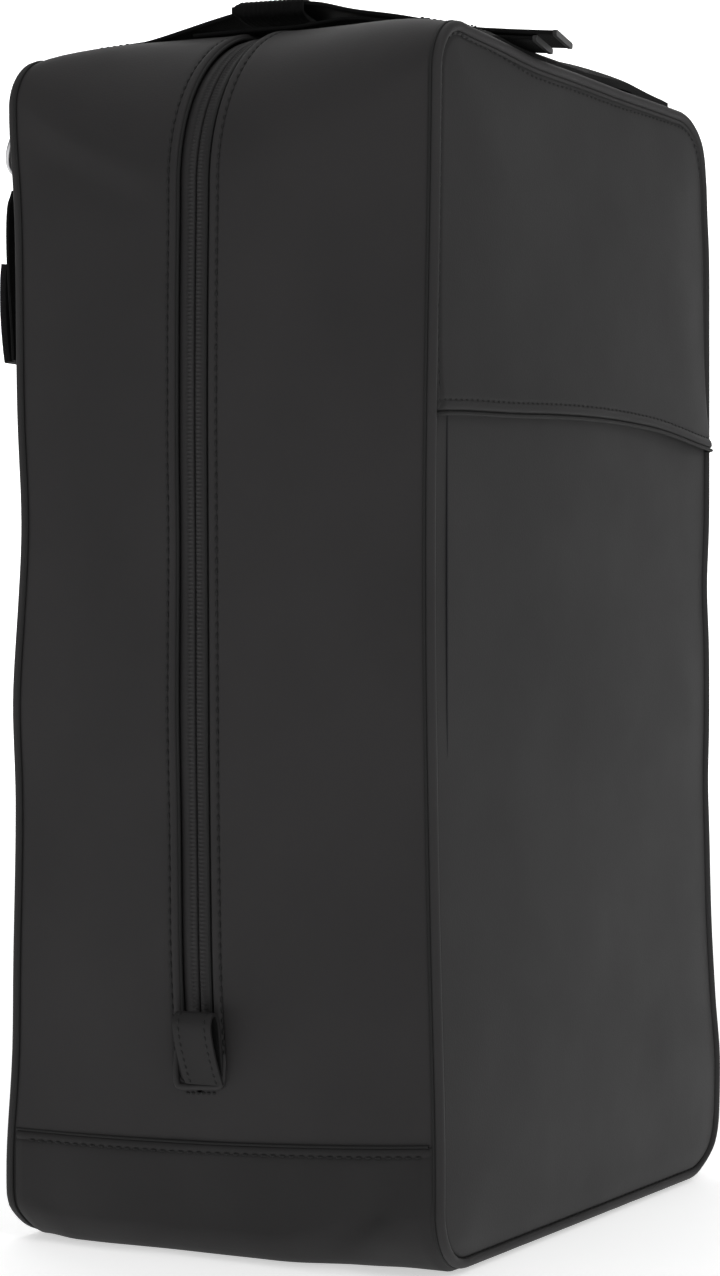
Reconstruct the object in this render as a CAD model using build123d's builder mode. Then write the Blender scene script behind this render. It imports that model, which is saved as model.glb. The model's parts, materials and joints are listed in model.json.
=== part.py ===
"""Upright clamshell shoe bag in coated fabric, millimetres.

X is the width, Y the depth (the front panel faces -Y), and +Z is up. The origin is on the floor,
below the middle of the bag. One zipper runs up the near side (-X), over the top and down the far
side (+X), and divides the bag in a fixed back half and a front half that swings down forwards.
"""
import os

from build123d import *

# Bag body
BAG_WIDTH = 220.0
BAG_DEPTH = 152.0
BAG_HEIGHT = 380.0
TOP_RADIUS = 26.0
BASE_RADIUS = 22.0
SKIN = 1.4
GAP = 0.2
BOOT_TOP = 34.0
BOOT_LAP = 6.0

# Where the front half folds
FOLD_Z = 60.0
FOLD_CLEARANCE = 0.4
FOLD_TOP = FOLD_Z + FOLD_CLEARANCE
FOLD_BASE = FOLD_Z - FOLD_CLEARANCE

# Main zipper
ZIP_Y = 4.0
ZIP_GAP = 12.0
ZIP_END_Z = 66.0
TAPE_WIDTH = 11.5
TAPE_SKIN = 0.6
TAPE_INSET = 1.8
COIL_WIDTH = 2.6
COIL_DEPTH = 1.6
STOP_Z = 90.0
STOP_HEIGHT = 2.0
STOP_SKIN = 1.0
SLIDER_Z = 100.0
SLIDER_HEIGHT = 12.0
SLIDER_WIDTH = 9.0
SLIDER_FOOT_WIDTH = 6.3
SLIDER_HEAD_WIDTH = 5.4
SLIDER_SHOULDER = 4.0
SLIDER_SKIN = 2.4
SLIDER_CLEARANCE = 0.3
BRIDGE_WIDTH = 2.4
BRIDGE_RISE = 3.2
BRIDGE_SKIN = 1.1
BRIDGE_INSET = 1.5
BRIDGE_LEG = 1.35
PULLER_WIDTH = 5.6
PULLER_LENGTH = 18.0
PULLER_ARM = 7.0
PULLER_ARM_WIDTH = 1.1
PULLER_SKIN = 1.2
PULLER_BAR = 0.7
PULLER_BAR_OUT = 1.05
PULLER_BAR_RISE = 0.6

# Stiffeners and linings
FOAM_INSET = 6.2
FOAM = 3.0
BOARD = 2.5
BOARD_WIDTH = 172.0
BOARD_MARGIN = 6.0
BOARD_CORNER = 8.0
LINING = 0.6
LINING_INSET = 5.0
LINING_MARGIN = 8.0

# Front pocket
FLAP_NEAR_Z = 261.0
FLAP_CREST_Z = 267.0
FLAP_CREST_X = 15.0
FLAP_FAR_Z = 265.0
POCKET_TOP = 270.0
POCKET_BASE = 72.0
POCKET_HALF_WIDTH = 100.0
POCKET_BACK_Y = -62.0
POCKET_SKIN = 0.6
POCKET_ZIP_Z = 278.0
POCKET_ZIP_REACH = 12.0
POCKET_TAPE_Y = -71.4
POCKET_TAPE_MARGIN = 6.0
POCKET_COIL_DEPTH = 1.4
POCKET_SLIDER_X = 84.0
POCKET_SLIDER_WIDTH = 12.0
POCKET_SLIDER_HEIGHT = 9.0
POCKET_SLIDER_SKIN = 2.2
POCKET_SLIDER_CORNER = 1.5
POCKET_BRIDGE_WIDTH = 8.0
POCKET_BRIDGE_HEIGHT = 2.0
POCKET_BRIDGE_RISE = 1.4
POCKET_PULLER_LENGTH = 20.0
POCKET_PULLER_WIDTH = 4.0
POCKET_PULLER_DROP = 5.5
POCKET_PULLER_NECK = 4.0
POCKET_PULLER_SKIN = 1.0
POCKET_PULLER_STEP = 1.5
POCKET_PULLER_CORNER = 1.4

# Webbing
WEBBING = 25.0
WEBBING_SKIN = 1.6
STRAP_X = -66.0
STRAP_PIVOT_Y = 62.0
STRAP_TURN = 12.5
STRAP_PIVOT_Z = 384.2
STRAP_CREST_Z = 394.2
STRAP_CREST_START = 36.0
STRAP_CREST_END = 72.0
STRAP_FRONT = 116.0
STRAP_FRONT_Z = 386.6
STRAP_LENGTH = 152.0
STRAP_END_Z = 384.2
STRAP_BEND = 8.0
BACKING_START = 120.0
BACKING_END = 145.0
SLEEVE_MIDDLE = 54.0
SLEEVE_LENGTH = 24.0
SLEEVE_SIDE = 2.5
SLEEVE_HEIGHT = 6.6
SLEEVE_WALL = 1.6
SLEEVE_CORNER = 2.8
ANCHOR_WIDTH = 28.0
ANCHOR_LENGTH = 19.0
ANCHOR_AHEAD = 10.0
ANCHOR_HEIGHT = 2.4
PATCH_SKIN = 1.4
HANDLE_NEAR_X = -68.0
HANDLE_FAR_X = 76.0
HANDLE_ARCH_NEAR_X = -12.0
HANDLE_ARCH_FAR_X = 62.0
HANDLE_FRONT_Y = -70.0
HANDLE_CREST_X = 25.0
HANDLE_CREST_Z = 384.2

# Hardware and straps on the back
BACK_TRIM_X = 96.0
RING_Y = 78.8
RING_BAR_Z = 357.0
RING_WIDTH = 19.0
RING_WIRE = 2.0
RING_DROP = 4.0
RING_TAB_WIDTH = 13.0
RING_TAB_RISE = 10.0
RING_BORE_CLEARANCE = 0.45
RING_BEND = 2.6
RING_TAB_OUT = 1.4
RING_CHAMFER = 0.5
BACK_STRAP_WIDTH = 20.0
BACK_STRAP_TOP = 337.0
BACK_STRAP_BASE = 285.0
BACK_STRAP_Y = 77.9
BACK_FOLD_TOP = 316.0
BACK_FOLD_SKIN = 2.2
BACK_PATCH_SKIN = 1.2
BACK_PATCH_BASE = 328.0
BACK_PATCH_TOP = 340.0

# Grab loops and sewn patches at the zipper's two ends
LOOP_WIDTH = 14.5
LOOP_BASE = 55.0
LOOP_TOP = 77.5
LOOP_REACH = 9.0
LOOP_SKIN = 1.6
LOOP_FOOT = 2.2
END_PATCH_WIDTH = 28.0
END_PATCH_BASE = 46.0
END_PATCH_SKIN = 1.0
TOUCH = 0.1

# Worked out from the above
FRONT = -BAG_DEPTH / 2
BACK = BAG_DEPTH / 2
HALF_WIDTH = BAG_WIDTH / 2
BODY_BASE = SKIN
BODY_MIDDLE = (BAG_HEIGHT + BODY_BASE) / 2
BODY_HEIGHT = BAG_HEIGHT - BODY_BASE
WELT_RADIUS = 1.5
WELT_INSET = 1.1
WELT_Y = BAG_DEPTH / 2 - WELT_INSET
GUSSET_END = WELT_Y - WELT_RADIUS - GAP
PANEL_INSET = WELT_INSET + WELT_RADIUS + GAP
FOLD_EDGE = ZIP_GAP / 2
LINING_START = ZIP_Y + FOLD_EDGE + LINING_MARGIN
COIL_INSET = TAPE_INSET + TAPE_SKIN
TOP_FACE = BAG_HEIGHT - GAP + TOUCH
STRAP_PLACE = Location((STRAP_X, STRAP_PIVOT_Y, 0), (0, 0, STRAP_TURN))
SIDES = (("near", -1), ("far", 1))

os.makedirs("parts", exist_ok=True)


def save(piece, label, place=Location()):
    """Names a finished piece and writes it, moved to its place."""
    solid = piece.part.moved(place)
    solid.label = label
    export_step(solid, f"parts/{label}.step")


def outline(y, inset):
    """The bag's rounded outline, seen from the front, in the plane at depth y."""
    with BuildSketch(Plane.XZ.offset(-y)) as shape:
        with Locations((0, BODY_MIDDLE)):
            Rectangle(BAG_WIDTH - 2 * inset, BODY_HEIGHT - 2 * inset)
        fillet(shape.vertices().group_by(Axis.Y)[-1], radius=TOP_RADIUS - inset)
        fillet(shape.vertices().group_by(Axis.Y)[0], radius=BASE_RADIUS - inset)
    return shape.sketch


def sheet(y_from, y_to, inset):
    """A flat sheet with the bag's outline."""
    extrude(outline(y_from, inset), amount=y_from - y_to)


def band(y_from, y_to, outer, inner):
    """A closed band that follows the outline between two insets."""
    extrude(outline(y_from, outer), amount=y_from - y_to)
    extrude(outline(y_from, inner), amount=y_from - y_to, mode=Mode.SUBTRACT)


def keep_above(z):
    """Cuts the current piece off below height z."""
    split(bisect_by=Plane.XY.offset(z), keep=Keep.TOP)


def keep_below(z):
    """Cuts the current piece off above height z."""
    split(bisect_by=Plane.XY.offset(z), keep=Keep.BOTTOM)


def block(x_from, x_to, y_from, y_to, z_from, z_to, mode=Mode.ADD):
    """A plain block between two corners."""
    with Locations(((x_from + x_to) / 2, (y_from + y_to) / 2, (z_from + z_to) / 2)):
        Box(abs(x_to - x_from), abs(y_to - y_from), abs(z_to - z_from), mode=mode)


def welt(y):
    """A piping cord sewn round the edge of the panel at depth y."""
    path = outline(y, WELT_INSET).face().outer_wire()
    with BuildSketch(Plane(path @ 0, z_dir=path % 0)) as section:
        Circle(WELT_RADIUS)
    sweep(section.sketch, path=path)


# ---------------------------------------------------------------- back half: outer shell
def make_back_panel():
    with BuildPart() as back_panel:
        sheet(BACK - SKIN, BACK, PANEL_INSET)
    save(back_panel, "back_panel")


def make_back_gusset():
    with BuildPart() as back_gusset:
        band(ZIP_Y + FOLD_EDGE, GUSSET_END, GAP, GAP + SKIN)
        keep_above(BOOT_TOP - BOOT_LAP)
    save(back_gusset, "back_gusset")


def make_lower_gussets():
    """The part of each side below the fold, in front of the back gusset."""
    for side, sign in SIDES:
        outer = sign * (HALF_WIDTH - GAP)
        with BuildPart() as lower_gusset:
            block(outer, outer - sign * SKIN, -GUSSET_END, ZIP_Y + FOLD_EDGE - GAP,
                  BOOT_TOP - BOOT_LAP, FOLD_BASE)
        save(lower_gusset, f"{side}_lower_gusset")


def make_base_boot():
    """The lapped boot: floor of the bag and the lowest strip of both sides."""
    with BuildPart() as base_boot:
        band(-GUSSET_END, GUSSET_END, -SKIN, 0)
        keep_below(BOOT_TOP)
    save(base_boot, "base_boot")


def make_lower_front_panel():
    with BuildPart() as lower_front_panel:
        sheet(FRONT, FRONT + SKIN, PANEL_INSET)
        keep_below(FOLD_BASE)
    save(lower_front_panel, "lower_front_panel")


def make_root_welts():
    with BuildPart() as back_welt:
        welt(WELT_Y)
    save(back_welt, "back_welt")
    with BuildPart() as lower_front_welt:
        welt(-WELT_Y)
        keep_below(FOLD_BASE)
    save(lower_front_welt, "lower_front_welt")


# ---------------------------------------------------------------- stiffeners and linings
def make_back_foam():
    with BuildPart() as back_foam:
        sheet(BACK - SKIN - GAP - FOAM, BACK - SKIN - GAP, FOAM_INSET)
    save(back_foam, "back_foam")


def make_front_foam():
    with BuildPart() as front_foam:
        sheet(POCKET_BACK_Y + GAP, POCKET_BACK_Y + GAP + FOAM, FOAM_INSET)
        keep_above(FOLD_TOP)
    save(front_foam, "front_foam")


def make_base_board():
    with BuildPart() as base_board:
        block(-BOARD_WIDTH / 2, BOARD_WIDTH / 2, -GUSSET_END, GUSSET_END - BOARD_MARGIN,
              BODY_BASE + GAP, BODY_BASE + GAP + BOARD)
        fillet(base_board.edges().filter_by(Axis.Z), radius=BOARD_CORNER)
    save(base_board, "base_board")


def make_linings():
    """Thin textile linings: one in the back half, one in the front half, one below the fold."""
    with BuildPart() as back_lining:
        band(LINING_START, BACK - SKIN - FOAM - 2 * GAP, LINING_INSET, LINING_INSET + LINING)
    save(back_lining, "back_lining")
    inner_y = POCKET_BACK_Y + FOAM + 2 * GAP
    with BuildPart() as front_lining:
        band(inner_y, ZIP_Y - FOLD_EDGE - LINING_MARGIN, LINING_INSET, LINING_INSET + LINING)
        sheet(inner_y, inner_y + LINING, LINING_INSET)
        keep_above(FOLD_TOP)
    save(front_lining, "front_lining")
    with BuildPart() as base_lining:
        band(-GUSSET_END, LINING_START - GAP, LINING_INSET, LINING_INSET + LINING)
        keep_below(FOLD_BASE)
    save(base_lining, "base_lining")


# ---------------------------------------------------------------- main zipper
def half_band(direction, start, width, outer, inner):
    """A band beside the zipper's middle line: direction 1 is the back half, -1 the front half."""
    edges = sorted((ZIP_Y + direction * start, ZIP_Y + direction * (start + width)))
    band(edges[0], edges[1], outer, inner)


def make_zip_tapes_and_coils():
    for half, direction in (("back", 1), ("front", -1)):
        with BuildPart() as zip_tape:
            half_band(direction, GAP, TAPE_WIDTH, TAPE_INSET, COIL_INSET)
            keep_above(ZIP_END_Z)
        save(zip_tape, f"{half}_zip_tape")
        with BuildPart() as zip_coil:
            half_band(direction, GAP, COIL_WIDTH, COIL_INSET + GAP / 2, COIL_INSET + COIL_DEPTH)
            keep_above(ZIP_END_Z)
        save(zip_coil, f"{half}_zip_coil")


def make_zip_stops():
    """A small metal stop on each half of the tape, near each end of the zipper."""
    tape_face = HALF_WIDTH - TAPE_INSET
    for half, direction in (("back", 1), ("front", -1)):
        with BuildPart() as zip_stops:
            for _, sign in SIDES:
                block(sign * tape_face, sign * (tape_face + STOP_SKIN), ZIP_Y + direction * GAP,
                      ZIP_Y + direction * COIL_WIDTH, STOP_Z, STOP_Z + STOP_HEIGHT)
        save(zip_stops, f"{half}_zip_stops")


def make_main_slider():
    """The slider's outer body and bridge, on the far side, at the closed end of the zipper."""
    plate_face = HALF_WIDTH - TAPE_INSET + SLIDER_CLEARANCE
    plate_top = plate_face + SLIDER_SKIN
    bridge_top = plate_top + BRIDGE_RISE
    low = SLIDER_Z - SLIDER_HEIGHT / 2
    high = SLIDER_Z + SLIDER_HEIGHT / 2
    shoulder = high - SLIDER_SHOULDER
    foot = SLIDER_FOOT_WIDTH / 2
    middle = SLIDER_WIDTH / 2
    head = SLIDER_HEAD_WIDTH / 2
    bridge = BRIDGE_WIDTH / 2
    bridge_low = low + BRIDGE_INSET
    bridge_high = high - BRIDGE_INSET
    with BuildPart() as main_slider:
        with BuildSketch(Plane.YZ.offset(plate_face)):
            with BuildLine():
                Polyline((ZIP_Y - foot, low), (ZIP_Y + foot, low), (ZIP_Y + middle, shoulder),
                         (ZIP_Y + head, high), (ZIP_Y - head, high), (ZIP_Y - middle, shoulder), close=True)
            make_face()
        extrude(amount=SLIDER_SKIN)
        fillet(main_slider.edges().filter_by(Axis.X), radius=BRIDGE_WIDTH / 2)
        block(plate_top - GAP, bridge_top, ZIP_Y - bridge, ZIP_Y + bridge, bridge_low, bridge_high)
        block(plate_top, bridge_top - BRIDGE_SKIN, ZIP_Y - bridge, ZIP_Y + bridge,
              bridge_low + BRIDGE_LEG, bridge_high - BRIDGE_LEG, mode=Mode.SUBTRACT)
    save(main_slider, "main_slider")
    return plate_top


def make_main_puller(plate_top):
    """The puller hangs from a bar under the slider's bridge."""
    bar_x = plate_top + PULLER_BAR_OUT
    bar_z = SLIDER_Z + PULLER_BAR_RISE
    arm_end = bar_z - PULLER_ARM
    half_skin = PULLER_SKIN / 2
    half_width = PULLER_WIDTH / 2
    with BuildPart() as main_puller:
        with Locations((bar_x, ZIP_Y, bar_z)):
            Cylinder(PULLER_BAR, PULLER_WIDTH, rotation=(90, 0, 0))
        for arm in (-1, 1):
            block(bar_x - half_skin, bar_x + half_skin, ZIP_Y + arm * (half_width - PULLER_ARM_WIDTH),
                  ZIP_Y + arm * half_width, arm_end, bar_z + half_skin)
        block(bar_x - half_skin, bar_x + half_skin, ZIP_Y - half_width, ZIP_Y + half_width,
              bar_z - PULLER_LENGTH, arm_end)
    save(main_puller, "main_puller")


def make_zip_end_patches():
    """A sewn patch at each end of the zipper."""
    face = HALF_WIDTH - GAP + TOUCH
    for side, sign in SIDES:
        with BuildPart() as zip_patch:
            block(sign * face, sign * (face + END_PATCH_SKIN), ZIP_Y - END_PATCH_WIDTH / 2,
                  ZIP_Y + END_PATCH_WIDTH / 2, END_PATCH_BASE, FOLD_BASE)
        save(zip_patch, f"{side}_zip_patch")


def make_grab_loops():
    """A folded loop of fabric stands on each patch."""
    foot = HALF_WIDTH - GAP + END_PATCH_SKIN + 2 * TOUCH
    middle = (LOOP_BASE + LOOP_TOP) / 2
    for side, sign in SIDES:
        crest = sign * (foot + LOOP_REACH)
        inner_crest = sign * (foot + LOOP_REACH - LOOP_SKIN)
        with BuildPart() as grab_loop:
            with BuildSketch(Plane.XZ.offset(-(ZIP_Y - LOOP_WIDTH / 2))):
                with BuildLine():
                    ThreePointArc((sign * foot, LOOP_BASE), (crest, middle), (sign * foot, LOOP_TOP))
                    Line((sign * foot, LOOP_TOP), (sign * foot, LOOP_TOP - LOOP_FOOT))
                    ThreePointArc((sign * foot, LOOP_TOP - LOOP_FOOT), (inner_crest, middle),
                                  (sign * foot, LOOP_BASE + LOOP_FOOT))
                    Line((sign * foot, LOOP_BASE + LOOP_FOOT), (sign * foot, LOOP_BASE))
                make_face()
            extrude(amount=-LOOP_WIDTH)
        save(grab_loop, f"{side}_grab_loop")


# ---------------------------------------------------------------- front half
def make_front_gusset():
    with BuildPart() as front_gusset:
        band(-GUSSET_END, ZIP_Y - FOLD_EDGE, GAP, GAP + SKIN)
        keep_above(FOLD_TOP)
    save(front_gusset, "front_gusset")


def make_upper_front_panel():
    """The upper panel, whose curved lower edge laps over the pocket."""
    face = FRONT - SKIN - GAP
    with BuildPart() as upper_front_panel:
        sheet(face, face + SKIN, PANEL_INSET)
        with BuildSketch(Plane.XZ.offset(-face)):
            with BuildLine():
                ThreePointArc((-HALF_WIDTH, FLAP_NEAR_Z), (FLAP_CREST_X, FLAP_CREST_Z),
                              (HALF_WIDTH, FLAP_FAR_Z))
                Polyline((HALF_WIDTH, FLAP_FAR_Z), (HALF_WIDTH, 0), (-HALF_WIDTH, 0),
                         (-HALF_WIDTH, FLAP_NEAR_Z))
            make_face()
        extrude(amount=-SKIN, mode=Mode.SUBTRACT)
    save(upper_front_panel, "upper_front_panel")


def make_pocket_panel():
    with BuildPart() as pocket_panel:
        sheet(FRONT, FRONT + SKIN, PANEL_INSET)
        keep_above(FOLD_TOP)
        keep_below(POCKET_TOP)
    save(pocket_panel, "pocket_panel")


def make_pocket_lining():
    """The pocket's inner wall: a shallow tray, open at the top."""
    mouth = FRONT + SKIN + GAP
    top = POCKET_ZIP_Z + POCKET_ZIP_REACH + SKIN
    inner = POCKET_HALF_WIDTH - POCKET_SKIN
    with BuildPart() as pocket_lining:
        block(-POCKET_HALF_WIDTH, POCKET_HALF_WIDTH, mouth, POCKET_BACK_Y, POCKET_BASE, top)
        block(-inner, inner, mouth, POCKET_BACK_Y - POCKET_SKIN, POCKET_BASE + POCKET_SKIN, top,
              mode=Mode.SUBTRACT)
    save(pocket_lining, "pocket_lining")


def make_pocket_zip():
    """The concealed zipper that closes the pocket, behind the flap."""
    reach = POCKET_HALF_WIDTH - POCKET_TAPE_MARGIN
    coil_reach = reach - POCKET_TAPE_MARGIN / 2
    tape_back = POCKET_TAPE_Y + TAPE_SKIN
    for part_name, direction in (("lower", -1), ("upper", 1)):
        near_edge = POCKET_ZIP_Z + direction * GAP
        with BuildPart() as pocket_zip_tape:
            block(-reach, reach, POCKET_TAPE_Y, tape_back, near_edge,
                  POCKET_ZIP_Z + direction * POCKET_ZIP_REACH)
        save(pocket_zip_tape, f"pocket_zip_tape_{part_name}")
        with BuildPart() as pocket_zip_coil:
            block(-coil_reach, coil_reach, tape_back, tape_back + POCKET_COIL_DEPTH, near_edge,
                  POCKET_ZIP_Z + direction * COIL_WIDTH)
        save(pocket_zip_coil, f"pocket_zip_coil_{part_name}")


def make_pocket_slider():
    back = POCKET_TAPE_Y - SLIDER_CLEARANCE
    plate = back - POCKET_SLIDER_SKIN
    with BuildPart() as pocket_slider:
        block(POCKET_SLIDER_X - POCKET_SLIDER_WIDTH / 2, POCKET_SLIDER_X + POCKET_SLIDER_WIDTH / 2,
              plate, back, POCKET_ZIP_Z - POCKET_SLIDER_HEIGHT / 2, POCKET_ZIP_Z + POCKET_SLIDER_HEIGHT / 2)
        fillet(pocket_slider.edges().filter_by(Axis.Y), radius=POCKET_SLIDER_CORNER)
        block(POCKET_SLIDER_X - POCKET_BRIDGE_WIDTH / 2, POCKET_SLIDER_X + POCKET_BRIDGE_WIDTH / 2,
              plate - POCKET_BRIDGE_RISE + GAP, plate + GAP, POCKET_ZIP_Z - POCKET_BRIDGE_HEIGHT / 2,
              POCKET_ZIP_Z + POCKET_BRIDGE_HEIGHT / 2)
    save(pocket_slider, "pocket_slider")


def make_pocket_puller():
    """The pocket's puller lies flat beside its slider, towards the open end."""
    back = POCKET_TAPE_Y - SLIDER_CLEARANCE - POCKET_SLIDER_SKIN
    front = back - POCKET_PULLER_SKIN
    start = POCKET_SLIDER_X - POCKET_SLIDER_WIDTH / 2
    low = POCKET_ZIP_Z - POCKET_PULLER_DROP
    neck_top = POCKET_ZIP_Z - POCKET_BRIDGE_HEIGHT / 2
    with BuildPart() as pocket_puller:
        block(start - POCKET_PULLER_LENGTH, start, front, back, low, low + POCKET_PULLER_WIDTH)
        block(start, start + POCKET_PULLER_NECK, front, back, low + POCKET_PULLER_STEP, neck_top)
        fillet(pocket_puller.edges().filter_by(Axis.Y).group_by(Axis.X)[0], radius=POCKET_PULLER_CORNER)
    save(pocket_puller, "pocket_puller")


def make_front_welt():
    with BuildPart() as front_welt:
        welt(-WELT_Y)
        keep_above(FOLD_TOP)
    save(front_welt, "front_welt")


def make_front_handle():
    """A flat webbing handle behind the front top edge, sewn down at both ends."""
    high = TOP_FACE + PATCH_SKIN
    near_foot = HANDLE_ARCH_NEAR_X + PATCH_SKIN
    far_foot = HANDLE_ARCH_FAR_X - PATCH_SKIN
    with BuildPart() as front_handle:
        with BuildSketch(Plane.XZ.offset(-HANDLE_FRONT_Y)):
            with BuildLine():
                Line((HANDLE_NEAR_X, TOP_FACE), (near_foot, TOP_FACE))
                ThreePointArc((near_foot, TOP_FACE), (HANDLE_CREST_X, HANDLE_CREST_Z - PATCH_SKIN),
                              (far_foot, TOP_FACE))
                Polyline((far_foot, TOP_FACE), (HANDLE_FAR_X, TOP_FACE), (HANDLE_FAR_X, high),
                         (HANDLE_ARCH_FAR_X, high))
                ThreePointArc((HANDLE_ARCH_FAR_X, high), (HANDLE_CREST_X, HANDLE_CREST_Z),
                              (HANDLE_ARCH_NEAR_X, high))
                Polyline((HANDLE_ARCH_NEAR_X, high), (HANDLE_NEAR_X, high), (HANDLE_NEAR_X, TOP_FACE))
            make_face()
        extrude(amount=-WEBBING)
    save(front_handle, "front_handle")


# ---------------------------------------------------------------- top strap
# The strap and its sleeve are drawn straight, from the pivot forwards, then turned into place.
def make_top_strap():
    with BuildPart() as top_strap:
        with BuildSketch(Plane.YZ.offset(-WEBBING / 2)):
            with BuildLine():
                FilletPolyline((0, STRAP_PIVOT_Z), (-STRAP_CREST_START, STRAP_CREST_Z),
                               (-STRAP_CREST_END, STRAP_CREST_Z), (-STRAP_FRONT, STRAP_FRONT_Z),
                               (-STRAP_LENGTH, STRAP_END_Z), radius=STRAP_BEND)
            trace(line_width=WEBBING_SKIN)
        extrude(amount=WEBBING)
    save(top_strap, "top_strap", STRAP_PLACE)


def make_strap_backing():
    """The second layer under the strap's front end, a little shorter than the strap."""
    slope = (STRAP_END_Z - STRAP_FRONT_Z) / (STRAP_LENGTH - STRAP_FRONT)
    drop = WEBBING_SKIN + TOUCH
    ends = [(-ahead, STRAP_FRONT_Z - drop + slope * (ahead - STRAP_FRONT))
            for ahead in (BACKING_START, BACKING_END)]
    with BuildPart() as strap_backing:
        with BuildSketch(Plane.YZ.offset(-WEBBING / 2)):
            with BuildLine():
                Line(*ends)
            trace(line_width=WEBBING_SKIN)
        extrude(amount=WEBBING)
    save(strap_backing, "strap_backing", STRAP_PLACE)


def make_strap_sleeve():
    """A flattened webbing tube that gathers the strap above the zipper."""
    outer_width = WEBBING + 2 * SLEEVE_SIDE
    with BuildPart() as strap_sleeve:
        with BuildSketch(Plane.XZ.offset(SLEEVE_MIDDLE + SLEEVE_LENGTH / 2)):
            with Locations((0, STRAP_CREST_Z)):
                RectangleRounded(outer_width, SLEEVE_HEIGHT, SLEEVE_CORNER)
                RectangleRounded(outer_width - 2 * SLEEVE_WALL, SLEEVE_HEIGHT - 2 * SLEEVE_WALL,
                                 SLEEVE_CORNER - SLEEVE_WALL, mode=Mode.SUBTRACT)
        extrude(amount=-SLEEVE_LENGTH)
    save(strap_sleeve, "strap_sleeve", STRAP_PLACE)


def make_strap_anchor():
    """The patch that sews the strap's back end to the top."""
    with BuildPart() as strap_anchor:
        block(-ANCHOR_WIDTH / 2, ANCHOR_WIDTH / 2, -ANCHOR_AHEAD, ANCHOR_LENGTH - ANCHOR_AHEAD,
              TOP_FACE, TOP_FACE + ANCHOR_HEIGHT)
    save(strap_anchor, "strap_anchor", STRAP_PLACE)


# ---------------------------------------------------------------- hardware on the back
def ring_face(middle_x, inset):
    """A D-shaped face: a straight bar on top and a half round below."""
    radius = RING_WIDTH / 2 - inset
    left = middle_x - radius
    right = middle_x + radius
    top = RING_BAR_Z + RING_WIRE / 2 - inset
    round_z = RING_BAR_Z - RING_DROP
    with BuildSketch(Plane.XZ.offset(-(RING_Y - RING_WIRE / 2))) as face:
        with BuildLine():
            Polyline((left, round_z), (left, top), (right, top), (right, round_z))
            ThreePointArc((right, round_z), (middle_x, round_z - radius), (left, round_z))
        make_face()
    return face.sketch


def make_rings_and_tabs():
    back = BACK + GAP
    front = RING_Y + RING_TAB_OUT
    for side, sign in SIDES:
        middle_x = sign * BACK_TRIM_X
        with BuildPart() as ring:
            extrude(ring_face(middle_x, 0), amount=-RING_WIRE)
            extrude(ring_face(middle_x, RING_WIRE), amount=-RING_WIRE, mode=Mode.SUBTRACT)
            chamfer(ring.faces().filter_by(Axis.Y).edges(), length=RING_CHAMFER)
        save(ring, f"{side}_ring")
        with BuildPart() as ring_tab:
            with BuildSketch(Plane.YZ.offset(middle_x - RING_TAB_WIDTH / 2)):
                with Locations((RING_Y, RING_BAR_Z)):
                    Circle(RING_BEND)
                with Locations(((back + front) / 2, RING_BAR_Z + RING_TAB_RISE / 2)):
                    Rectangle(front - back, RING_TAB_RISE)
                with Locations((RING_Y, RING_BAR_Z)):
                    Circle(RING_WIRE / 2 + RING_BORE_CLEARANCE, mode=Mode.SUBTRACT)
            extrude(amount=RING_TAB_WIDTH)
        save(ring_tab, f"{side}_ring_tab")


def make_back_straps():
    """Short webbing straps that hang below the rings, their ends folded up and sewn."""
    half = BACK_STRAP_WIDTH / 2
    fold_y = BACK_STRAP_Y + WEBBING_SKIN + TOUCH
    for side, sign in SIDES:
        middle_x = sign * BACK_TRIM_X
        left = middle_x - half
        right = middle_x + half
        with BuildPart() as back_strap:
            block(left, right, BACK_STRAP_Y, BACK_STRAP_Y + WEBBING_SKIN, BACK_STRAP_BASE, BACK_STRAP_TOP)
        save(back_strap, f"{side}_back_strap")
        with BuildPart() as strap_fold:
            block(left, right, fold_y, fold_y + BACK_FOLD_SKIN, BACK_STRAP_BASE, BACK_FOLD_TOP)
        save(strap_fold, f"{side}_back_strap_fold")
        with BuildPart() as strap_patch:
            block(left, right, BACK + TOUCH, BACK + TOUCH + BACK_PATCH_SKIN, BACK_PATCH_BASE, BACK_PATCH_TOP)
        save(strap_patch, f"{side}_back_strap_patch")


def main():
    make_back_panel()
    make_back_gusset()
    make_lower_gussets()
    make_base_boot()
    make_lower_front_panel()
    make_root_welts()
    make_back_foam()
    make_front_foam()
    make_base_board()
    make_linings()
    make_zip_tapes_and_coils()
    make_zip_stops()
    make_main_puller(make_main_slider())
    make_zip_end_patches()
    make_grab_loops()
    make_front_gusset()
    make_upper_front_panel()
    make_pocket_panel()
    make_pocket_lining()
    make_pocket_zip()
    make_pocket_slider()
    make_pocket_puller()
    make_front_welt()
    make_front_handle()
    make_top_strap()
    make_strap_backing()
    make_strap_sleeve()
    make_strap_anchor()
    make_rings_and_tabs()
    make_back_straps()


main()
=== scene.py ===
import json
import math

import bpy
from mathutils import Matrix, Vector, noise


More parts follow.
